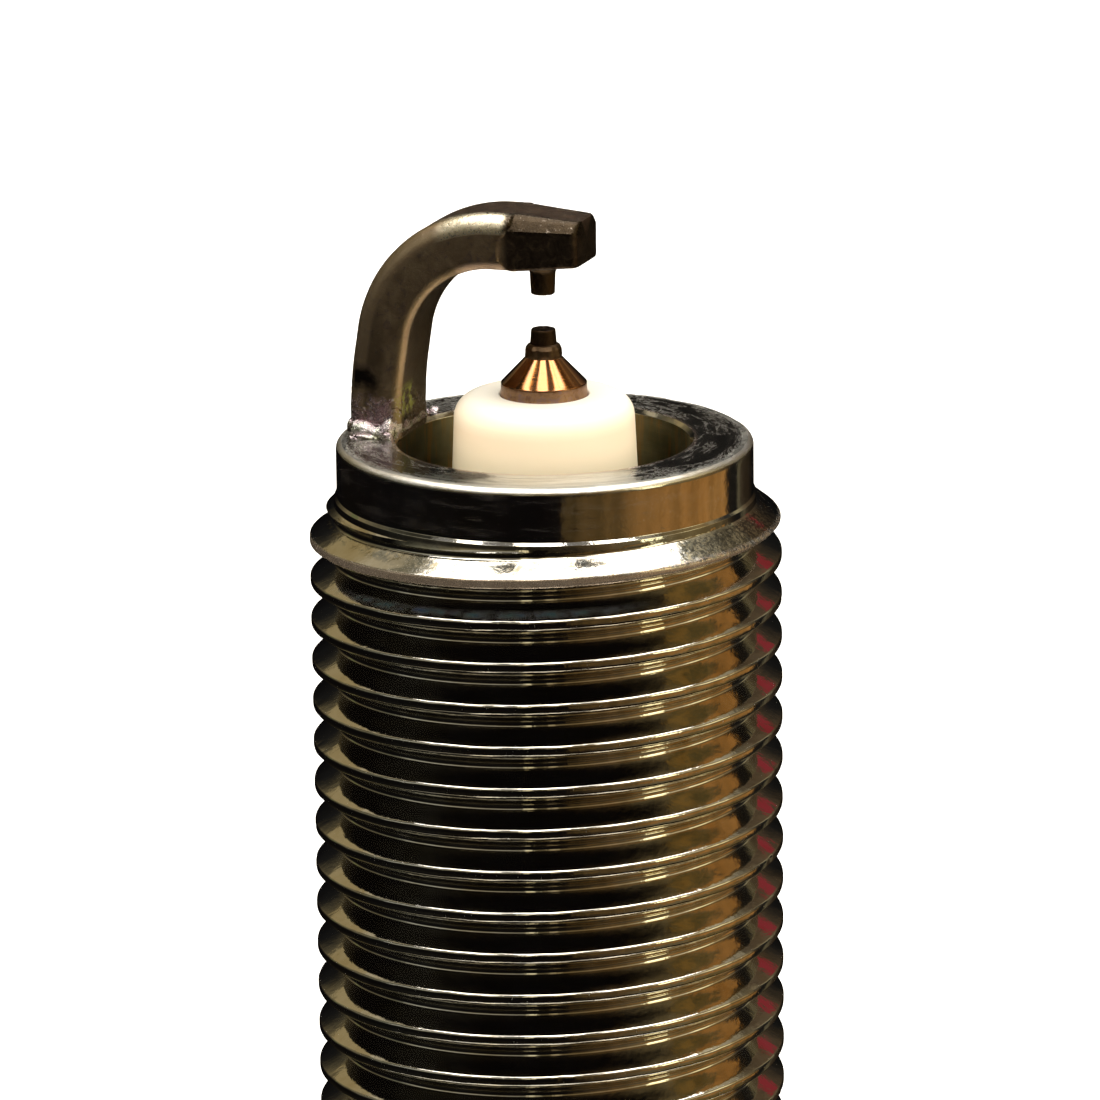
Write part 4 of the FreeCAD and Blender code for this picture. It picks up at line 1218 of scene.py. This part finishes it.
# ------------------------------------------------------------------ centre electrode
TIP_R, TIP_TOP = 0.43, 29.80
BODY_CORNERS = [
    (0, 28.76), (TIP_R, 28.76), (TIP_R, 28.97), (0.535, 28.97), (1.262, 28.205, 0.035),
    (1.266, 28.00), (1.285, 27.88, 0.02), (1.285, 27.84), (1.265, 10.93), (1.72, 10.42, 0.05),
    (1.72, 9.40, 0.05), (1.42, 9.15, 0.05), (1.42, 7.85, 0.1), (1.17, 7.60, 0.05), (0, 7.60)]
TIP_CORNERS = [(0, 28.78), (TIP_R, 28.78), (TIP_R, 29.0), (0.36, TIP_TOP, 0.05), (0, TIP_TOP)]
SEAM_CORNERS = [
    (0.40, 28.95), (0.54, 28.95, 0.02), (0.552, 29.05, 0.05), (0.535, 29.22, 0.06),
    (0.455, 29.33, 0.05), (0.40, 29.36), (0.36, 29.36)]


def shape_body(radius, z, angle):
    x, y = np.cos(angle), np.sin(angle)
    cone = fade(z, 27.9, 28.2) * (radius > 0.02)
    base = bell(z, 27.88, 0.05) * (radius > 1.2)
    return (radius + cone * 0.003 * fbm(x * 2.4, y * 2.4, z * 2, 111)
            + base * 0.010 * fbm(x * 4, y * 4, 0, 112), z)


def shape_tip(radius, z, angle):
    x, y = np.cos(angle), np.sin(angle)
    side = (radius > 0.02) * fade(z, 29.2, 29.4)
    end = 0.006 * noise(x * radius * 9, y * radius * 9, 0, 122) * (z > TIP_TOP - 0.02)
    return radius + side * (0.010 * fbm(x * 2.2, y * 2.2, z * 3, 121) - 0.003), z + end


def shape_seam(radius, z, angle):
    """Small overlapping melt spots round the seam."""
    x, y = np.cos(angle), np.sin(angle)
    outside = fade(radius, 0.41, 0.50)
    spots = np.abs(np.sin(angle * 5.5 + 0.7 * np.sin(angle)))
    bulge = 0.030 * fbm(x * 2.6, y * 2.6, z * 5, 131) + 0.016 * (spots - 0.5)
    return radius + outside * bulge, z + outside * 0.02 * fbm(x * 3, y * 3, 0, 132)


turned("centre_electrode_body", subdivide(rounded(BODY_CORNERS, 4), 0.10), 160, shape_body,
       node="centre_electrode_sheath", slot="electrode_alloy", materials=("alloy",), sharp=30)
turned("centre_tip", subdivide(rounded(TIP_CORNERS), 0.05), 72, shape_tip,
       node="centre_electrode_tip", slot="precious_metal", materials=("tip",))
turned("centre_tip_seam", subdivide(rounded(SEAM_CORNERS, 4), 0.035, True), 120, shape_seam,
       closed=True, node="centre_tip_weld", slot="weld_metal", materials=("bead",), sharp=50)

# ------------------------------------------------------------------ insulator
INSULATOR_R, INSULATOR_HOLE_R = 5.25, 1.305
GROOVES, GROOVE_PITCH, GROOVE_DEPTH, FIRST_GROOVE_TOP = 5, 3.3, 0.55, -18.85
GROOVE_HEIGHT = GROOVE_PITCH * 0.62
NOSE_CORNERS = [
    (INSULATOR_HOLE_R, 27.70), (INSULATOR_HOLE_R, 27.85, 0.05), (2.63, 27.85, 0.72),
    (3.30, 12.2, 0.3), (3.40, 11.574, 0.1), (4.38, 10.7165, 0.15), (4.38, -1.0, 0.5),
    (6.30, -2.35, 0.35), (6.30, -6.4, 0.35), (INSULATOR_R, -7.45, 0.4), (INSULATOR_R, -10.0)]


def groove(top):
    """A shallow arc cut into the wall, with its two shoulders eased."""
    radius = (GROOVE_HEIGHT ** 2 / 4 + GROOVE_DEPTH ** 2) / (2 * GROOVE_DEPTH)
    half = math.asin(GROOVE_HEIGHT / 2 / radius)
    centre_z, centre_r = top - GROOVE_HEIGHT / 2, INSULATOR_R - GROOVE_DEPTH + radius
    angles = [half * (1 - 2 * q / 16) for q in range(1, 16)]
    arc = [(centre_r - radius * math.cos(angle), centre_z + radius * math.sin(angle))
           for angle in angles]
    low, eased = top - GROOVE_HEIGHT, INSULATOR_R - 0.015
    return ([(INSULATOR_R, top + 0.18), (eased, top + 0.05)] + arc
            + [(eased, low - 0.05), (INSULATOR_R, low - 0.18)])


def make_insulator():
    outline = rounded(NOSE_CORNERS, 8) + [(INSULATOR_R, -12.0)]
    z = FIRST_GROOVE_TOP
    for _ in range(GROOVES):
        outline += groove(z)
        z -= GROOVE_PITCH
    outline += rounded([
        (INSULATOR_R, z + 0.3), (INSULATOR_R, z, 0.3), (5.00, z - 0.30, 0.3),
        (4.20, -40.40, 0.35), (3.65, -41.29, 0.25), (2.10, -41.29, 0.1), (1.95, -41.15),
        (1.95, 10.35), (INSULATOR_HOLE_R, 11.0), (INSULATOR_HOLE_R, 27.70)], 6)[:-1]

    def shape(radius, z, angle):
        x, y = np.cos(angle), np.sin(angle)
        return radius + 0.004 * noise(x * 1.5, y * 1.5, z * 0.4, 140) * (radius > 2.2), z

    turned("insulator_body", subdivide(outline, 0.45, True), 192, shape, closed=True,
           node="insulator", slot="alumina", materials=("ceramic",))


make_insulator()

# ------------------------------------------------------------------ terminal stud
STUD_COUNT, STUD_PITCH = 128, 0.70
STUD_LOW_R, STUD_LOW = 1.80, -49.25
STUD_HIGH_R, STUD_HIGH = 1.62, -43.10
RING_R, RING_TOP, RING_PITCH, RINGS = 1.75, -7.05, 0.80, 6


def make_stud():
    low = rounded([(STUD_LOW_R, STUD_LOW), (1.50, -49.68, 0.05), (0, -49.70)], 3)
    high = [
        (STUD_HIGH_R, STUD_HIGH), (1.55, -42.95), (1.55, -42.30), (2.63, -42.30),
        (2.75, -42.18), (2.75, -41.42), (2.63, -41.30), (1.50, -41.30), (1.50, -12.3),
        (RING_R, -12.0)]
    rings, z = [], RING_TOP
    for _ in range(RINGS):
        rings += [(RING_R, z - 0.35), (1.53, z - 0.50), (1.53, z - 0.65),
                  (RING_R, z - RING_PITCH)]
        z -= RING_PITCH
    high += rings[::-1] + [(RING_R, RING_TOP), (1.30, -6.60), (0, -6.60)]
    low_verts, low_faces = lathe(low, STUD_COUNT)
    high_verts, high_faces = lathe(high, STUD_COUNT)
    high_ring = len(low_verts)
    verts = np.concatenate([low_verts, high_verts])
    faces = low_faces + [tuple(i + high_ring for i in face) for face in high_faces]
    outline = thread_outline(crest_r=1.97, root_r=1.58, pitch=STUD_PITCH, land=0.11,
                             crest_round=0.03, root_round=0.05, flank=2, segments=3)

    def shape(radius, z, angle):
        radius = smooth_min(radius, STUD_LOW_R + (z - STUD_LOW) * 0.9, 0.03)
        radius = smooth_min(radius, STUD_HIGH_R + (STUD_HIGH - z) * 1.1, 0.03)
        return np.maximum(radius, 1.5), z

    verts, faces = add_thread(
        verts, faces, outline, STUD_PITCH, start_z=-46.0 - 20 * STUD_PITCH, low_z=STUD_LOW,
        high_z=STUD_HIGH, count=STUD_COUNT, shape=shape, low_ring=0, high_ring=high_ring)
    build("terminal_stud_rod", verts, faces, node="terminal_stud", slot="zinc_plated_steel",
          materials=("stud",))


make_stud()

# ------------------------------------------------------------------ terminal nut
# closed outline, (r, z, rounding)
NUT_CORNERS = [
    (2.28, -42.35, 0.05), (2.875, -42.35, 0.08), (3.175, -42.65, 0.10), (3.175, -44.45, 0.10),
    (2.875, -44.75, 0.1), (2.555, -45.05, 0.12), (2.36, -45.45, 0.3), (2.36, -46.15, 0.3),
    (2.555, -46.55, 0.2), (3.025, -47.25, 0.12), (3.175, -47.45, 0.08), (3.175, -49.35, 0.05),
    (3.14, -49.75, 0.2), (2.92, -50.20, 0.2), (2.555, -50.5, 0.12), (2.25, -50.5, 0.05),
    (2.03, -50.28, 0.05), (2.03, -42.60, 0.05)]


def shape_nut(radius, z, angle):
    """Fine tool marks on the outside."""
    x, y = np.cos(angle), np.sin(angle)
    marks = 0.003 * noise(x * 2, y * 2, z * 9, 150) - 0.003
    return radius + (radius > 2.3) * marks, z


turned("terminal_nut_body", subdivide(rounded(NUT_CORNERS, 4, True), 0.12, True), 160,
       shape_nut, closed=True, body="terminal_nut", node="terminal_nut",
       slot="terminal_plating", materials=("nut",))

# ------------------------------------------------------------------ gasket
SHEET, GASKET_HEIGHT, GASKET_IN_R, GASKET_OUT_R = 0.32, 2.0, 6.70, 9.60


def make_gasket():
    """A folded sheet: a fold at the outer edge below and one at the inner edge above."""
    half = SHEET / 2
    middle_z = (GASKET_HEIGHT - SHEET) / 2
    fold = (GASKET_HEIGHT - middle_z) / 2
    low_x, high_x = GASKET_OUT_R - fold, GASKET_IN_R + fold
    line = [(GASKET_IN_R + 0.05, half), (low_x, half)]
    for centre_r, centre_z, way, end_z in (
            (low_x, fold, 1, 2 * fold - half),
            (high_x, middle_z + fold, -1, GASKET_HEIGHT - half)):
        if way < 0:
            line.append((high_x, middle_z + half))
        for q in range(1, 12):
            angle = -math.pi / 2 + way * math.pi * q / 12
            line.append((centre_r + (fold - half) * math.cos(angle),
                         centre_z + (fold - half) * math.sin(angle)))
        line.append((centre_r, end_z))
    line.append((GASKET_OUT_R - 0.30, GASKET_HEIGHT - half))
    line = np.array(subdivide(line, 0.16))
    along = np.gradient(line, axis=0)
    along = along / np.linalg.norm(along, axis=1, keepdims=True)
    across = np.stack([-along[:, 1], along[:, 0]], 1)
    offset = across * (half - 0.004)
    # both ends of the sheet are narrowed
    start, end = line[0] - along[0] * 0.05, line[-1] + along[-1] * 0.05
    outline = np.concatenate([
        line + offset, [end + across[-1] * 0.07, end - across[-1] * 0.07],
        (line - offset)[::-1], [start - across[0] * 0.07, start + across[0] * 0.07]])

    def shape(radius, z, angle):
        x, y = np.cos(angle), np.sin(angle)
        wobble = 0.015 * noise(x * 2.4, y * 2.4, z * 0.8, 160)
        crimp = 0.012 * np.sin(angle * 34 + 1.3 * np.sin(3 * angle))
        crimp = crimp * bell(radius, GASKET_IN_R + 0.1, 0.35)
        moved = radius + wobble * fade(radius, 7.0, 9.0) * (radius < 9.3)
        moved = moved + np.where(radius < 7.2, np.abs(crimp), 0)
        return moved, np.clip(z, 0.004, GASKET_HEIGHT - 0.004)

    turned("gasket_ring", outline, 240, shape, closed=True, body="gasket", node="gasket",
           slot="gasket_steel", materials=("gasket",), sharp=50)


make_gasket()

# ------------------------------------------------------------------ CAD solids kept as they are
KEPT_SOLIDS = {
    "centre_electrode_core": "copper", "lower_glass_seal": "glass", "resistor": "carbon",
    "upper_glass_seal": "glass", "packing_washer": "packing", "lower_packing_ring": "packing",
    "upper_packing_ring": "packing", "talc_filling": "talc",
}
for node_name, material_key in KEPT_SOLIDS.items():
    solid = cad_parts[node_name]
    if not solid.material_slots:
        solid.data.materials.append(MATERIALS[material_key])
    for material_slot in solid.material_slots:
        material_slot.material = MATERIALS[material_key]

# ------------------------------------------------------------------ floor (metres)
FLOOR_Z = CAD_LOW.z - 0.00002
FLOOR_RINGS = [0.02, 0.05, 0.12, 0.3, 0.8, 2.0, 6.0]
FLOOR_COUNT = 96


def floor_paper():
    """White matt paper that glows a little to the camera only."""
    graph = Graph("floor_paper")
    grain = graph.add("TexCoord", {}, "Object").noise(scale=900.0)
    normal = grain.bump(strength=0.1, distance=0.00002)
    matt = graph.add("BsdfDiffuse", {"Color": (0.90, 0.90, 0.90), "Normal": normal})
    glow = graph.add("LightPath", {}, "Is Camera Ray") * 0.22
    light = graph.add("Emission", {"Color": (1, 1, 1), "Strength": glow})
    graph.add("OutputMaterial", {"Surface": graph.add("AddShader", {0: matt, 1: light})})
    return graph.owner


def make_floor():
    count = FLOOR_COUNT
    verts = [(0, 0, FLOOR_Z)]
    for radius in FLOOR_RINGS:
        for j in range(count):
            angle = 2 * math.pi * j / count
            verts.append((radius * math.cos(angle), radius * math.sin(angle), FLOOR_Z))
    faces = [(0, 1 + j, 1 + (j + 1) % count) for j in range(count)]
    for i in range(len(FLOOR_RINGS) - 1):
        for j in range(count):
            start, end = 1 + i * count + j, 1 + i * count + (j + 1) % count
            faces.append((start, start + count, end + count, end))
    mesh = bpy.data.meshes.new("floor")
    mesh.from_pydata(verts, [], faces)
    mesh.update()
    mesh.materials.append(floor_paper())
    floor = bpy.data.objects.new("floor", mesh)
    bpy.context.scene.collection.objects.link(floor)
    floor.visible_glossy = False


make_floor()

# ------------------------------------------------------------------ world
VIEW_TURN = math.radians(20.0)
TO_CAMERA = (math.sin(VIEW_TURN), -math.cos(VIEW_TURN), 0.0)
TO_RIGHT = (math.cos(VIEW_TURN), math.sin(VIEW_TURN), 0.0)

# the room by azimuth: degrees from the camera's direction, positive to its right, and colour
ROOM = [
    (-180, (0.002, 0.002, 0.0015)), (-161, (0.002, 0.002, 0.0015)),
    (-150, (0.045, 0.036, 0.018)), (-135, (0.055, 0.045, 0.025)),
    (-118, (0.035, 0.030, 0.018)), (-95, (0.035, 0.035, 0.025)),
    (-75, (0.060, 0.060, 0.045)), (-45, (0.050, 0.042, 0.025)), (-8, (0.024, 0.020, 0.010)),
    (15, (0.055, 0.038, 0.016)), (35, (0.11, 0.075, 0.038)), (55, (0.15, 0.12, 0.065)),
    (90, (0.17, 0.125, 0.055)), (108, (0.13, 0.09, 0.04)), (119, (0.03, 0.022, 0.012)),
    (124, (0.010, 0.009, 0.007)), (130, (0.010, 0.009, 0.007)), (134, (0.14, 0.12, 0.07)),
    (140, (0.045, 0.032, 0.018)), (150, (0.030, 0.020, 0.010)),
    (162, (0.002, 0.002, 0.0015)), (180, (0.002, 0.002, 0.0015))]
# its brightness by elevation in degrees, on the left and on the right
LEFT_HEIGHTS = [
    (-38, 0.0), (-32, 0.08), (-24, 0.16), (-18, 0.03), (-8, 0.03), (-3, 0.20), (4, 0.60),
    (12, 1.8), (20, 3.4), (26, 3.6), (32, 2.4), (40, 0.9), (52, 0.3), (60, 0.0)]
RIGHT_HEIGHTS = [
    (-37, 0.0), (-32, 0.15), (-26, 0.60), (-19, 0.75), (-10, 0.55), (-3, 0.8), (5, 1.1),
    (13, 2.0), (22, 2.9), (30, 2.2), (40, 1.2), (52, 0.5), (60, 0.1)]
ROOM_RANGE = 4          # brightness is stored divided by this, to fit a colour ramp
# small bright spots: elevation band (low, high, soft), azimuth band, colour
SPOTS = [
    ((20.5, 27.0, 1.0), (149, 156.5, 1.0), (0.21, 0.026, 0.032)),
    ((-2, 32, 4), (52, 66, 1.2), (2.3, 2.15, 1.35)),
    ((12, 34, 4), (82, 100, 1.2), (1.1, 0.98, 0.55)),
    ((4, 34, 4), (-15, -9, 1.2), (0.9, 0.82, 0.55)),
    ((4, 34, 4), (-2, 4, 1.0), (0.40, 0.33, 0.20)),
]


def make_world():
    """Reflections see a dark studio with an overhead panel; matt surfaces and the eye, a pale one."""
    graph = Graph("studio", bpy.data.worlds)
    direction = graph.add("VectorMath", {0: graph.add("TexCoord", {}, "Generated")},
                          "Vector", operation="NORMALIZE")
    forward = direction.vector("DOT_PRODUCT", TO_CAMERA, "Value")
    right = direction.vector("DOT_PRODUCT", TO_RIGHT, "Value")
    z = direction.split()[2]
    azimuth = right.math("ARCTAN2", forward) * (180 / math.pi)
    elevation = z.math("ARCSINE") * (180 / math.pi)

    def window(elevations, azimuths):
        return elevation.band(*elevations) * azimuth.band(*azimuths)

    # streaks break up long reflections
    streak = graph.add("CombineXYZ", {0: azimuth * 0.16, 1: elevation * 0.012})
    streak = streak.noise(scale=1.0, detail=3.0, rough=0.6)
    patch = direction.noise(scale=5.0, detail=4.0, rough=0.6, distort=0.8)
    colour = graph.mix((0.0025, 0.0022, 0.0025), (0.007, 0.007, 0.008), z.fade(-0.2, 0.5))

    def by_height(stops):
        return ((elevation + 60.0) / 120.0).ramp(
            [((degrees + 60) / 120, (value / ROOM_RANGE,) * 3) for degrees, value in stops])

    room = (azimuth / 360.0 + 0.5).ramp([((degrees + 180) / 360, shade)
                                         for degrees, shade in ROOM])
    profile = by_height(LEFT_HEIGHTS).mix(by_height(RIGHT_HEIGHTS), azimuth.fade(5, 40))
    room = room.scaled(float(ROOM_RANGE)).stretch(profile)
    room = room.stretch(streak.ramp([(0.3, (0.60, 0.62, 0.62)), (0.7, (1.0, 1.0, 1.0))]))
    colour = colour.vector("ADD", room.scaled(1.30))

    # warm wood under the horizon, from straight ahead round to the right
    wood = (azimuth / 125.0).ramp([
        (0.08, (0.055, 0.036, 0.014)), (0.32, (0.11, 0.066, 0.024)),
        (0.42, (0.24, 0.125, 0.040)), (0.90, (0.33, 0.165, 0.050))])
    wood_streaks = streak.ramp([(0.3, (0.55, 0.60, 0.60)), (0.7, (1.35, 1.30, 1.25))])
    wood = wood.mix(wood_streaks, 1.0, "MULTIPLY")
    colour = colour.mix(wood, window((-18.5, -8, 2), (9, 121, 3)))
    # olive-gold patch lower down
    gold = graph.mix((0.075, 0.060, 0.024), (0.19, 0.115, 0.032), patch.fade(0.40, 0.60))
    colour = colour.mix(gold, window((-36, -18, 3), (71, 112, 3)))
    # tan and olive areas beyond the left side
    tan = graph.mix((0.34, 0.27, 0.14), (0.26, 0.21, 0.11), patch)
    colour = colour.mix(tan, window((20, 44, 1.5), (-163, -137, 3)))
    colour = colour.mix((0.12, 0.13, 0.06), window((2, 30, 4), (-137, -130, 1.5)))
    # greyer ceiling, left and right
    ceiling = graph.mix((0.16, 0.15, 0.11), (0.42, 0.37, 0.26), patch.fade(0.42, 0.60))
    colour = colour.mix(ceiling, window((36, 64, 4), (-158, -110, 6)))
    ceiling = graph.mix((0.22, 0.18, 0.11), (0.44, 0.40, 0.29), elevation.fade(34, 54))
    ceiling = ceiling.stretch(patch.ramp([
        (0.36, (0.45, 0.45, 0.45)), (0.62, (1.25, 1.25, 1.25))]))
    colour = colour.mix(ceiling, window((27, 64, 5), (110, 144, 5)))
    for elevations, azimuths, shade in SPOTS:
        colour = colour.mix(shade, window(elevations, azimuths))
    # faint grey glow on the front left
    colour = colour.mix((0.50, 0.49, 0.44), window((20, 38, 5), (-80, -10, 10)) * 0.55)

    # overhead panel at unit height; its front part is three lamps side by side
    height = z.math("MAXIMUM", 0.02)
    ahead, across = forward / height, right / height
    whole = ahead.band(-0.95, 0.16, 0.04) * across.band(-0.75, 0.75, 0.10)
    lamps = (across.band(-0.70, -0.48, 0.03) + across.band(-0.24, 0.14, 0.03)
             + across.band(0.34, 0.68, 0.03))
    front = ahead.band(0.12, 0.85, 0.04) * (lamps * 0.96 + 0.04)
    # its far corners fade out
    far = ahead * -1.0 + across.math("ABSOLUTE")
    whole = whole * (far + (patch - 0.5) * 0.7).fade(1.02, 0.86)
    panel = z.fade(0.05, 0.15) * whole.math("MAXIMUM", front)
    colour = colour.mix((4.6, 4.5, 4.3), panel)

    # matt surfaces see a soft pale room, a little brighter on the right; the camera sees white
    soft = graph.mix((2.02, 1.88, 1.62), (1.88, 1.79, 1.63), z.fade(-0.7, 1.0))
    soft = soft.scaled(1.0 + right.math("MAXIMUM", 0.0) * 0.30)
    diffuse_ray = graph.add("LightPath", {}, "Is Diffuse Ray")
    colour = colour.mix(soft, diffuse_ray)
    colour = colour.mix((1.0, 1.0, 1.0), diffuse_ray.output("Is Camera Ray"))
    graph.add("OutputWorld", {"Surface": graph.add("Background", {"Color": colour})})
    graph.owner.cycles.sampling_method = "NONE"
    bpy.context.scene.world = graph.owner


make_world()

# ------------------------------------------------------------------ key light (metres)
KEY_PLACE = Vector(TO_CAMERA) * 0.16 - Vector(TO_RIGHT) * 0.02 + Vector((0, 0, 0.55))
KEY_TARGET = Vector((0, 0, 0.025))


def make_key():
    light = bpy.data.lights.new("key", "AREA")
    light.shape = "DISK"
    light.size = 0.30
    light.energy = 0.12
    light.color = (1.0, 0.97, 0.92)
    key = bpy.data.objects.new("key", light)
    key.location = KEY_PLACE
    key.rotation_euler = (KEY_TARGET - KEY_PLACE).to_track_quat("-Z", "Y").to_euler()
    bpy.context.scene.collection.objects.link(key)
    key.visible_glossy = False
    key.visible_camera = False


make_key()

# ------------------------------------------------------------------ camera
CAMERA_PLACE = (0.119, -226.185, 83.263)      # millimetres, before the view is turned
CAMERA_DOWN, CAMERA_ROLL = math.radians(14.899), math.radians(-0.6808)


def make_camera():
    scene = bpy.context.scene
    data = bpy.data.cameras.new("camera")
    data.lens, data.sensor_width = 259.84, 36.0
    data.clip_start, data.clip_end = 0.01, 20.0
    camera = bpy.data.objects.new("camera", data)
    scene.collection.objects.link(camera)
    right = Vector((1, 0, 0))
    up = Vector((0, math.sin(CAMERA_DOWN), math.cos(CAMERA_DOWN)))
    ahead = Vector((0, math.cos(CAMERA_DOWN), -math.sin(CAMERA_DOWN)))
    rolled_right = right * math.cos(CAMERA_ROLL) + up * math.sin(CAMERA_ROLL)
    rolled_up = -right * math.sin(CAMERA_ROLL) + up * math.cos(CAMERA_ROLL)
    turn = Matrix.Rotation(VIEW_TURN, 3, "Z")
    axes = Matrix((turn @ rolled_right, turn @ rolled_up, -(turn @ ahead))).transposed()
    place = turn @ Vector(CAMERA_PLACE) * MM
    camera.matrix_world = Matrix.Translation(place) @ axes.to_4x4()
    scene.camera = camera
    scene.view_settings.view_transform = "Standard"
    scene.view_settings.look = "None"


make_camera()

bpy.context.view_layer.update()
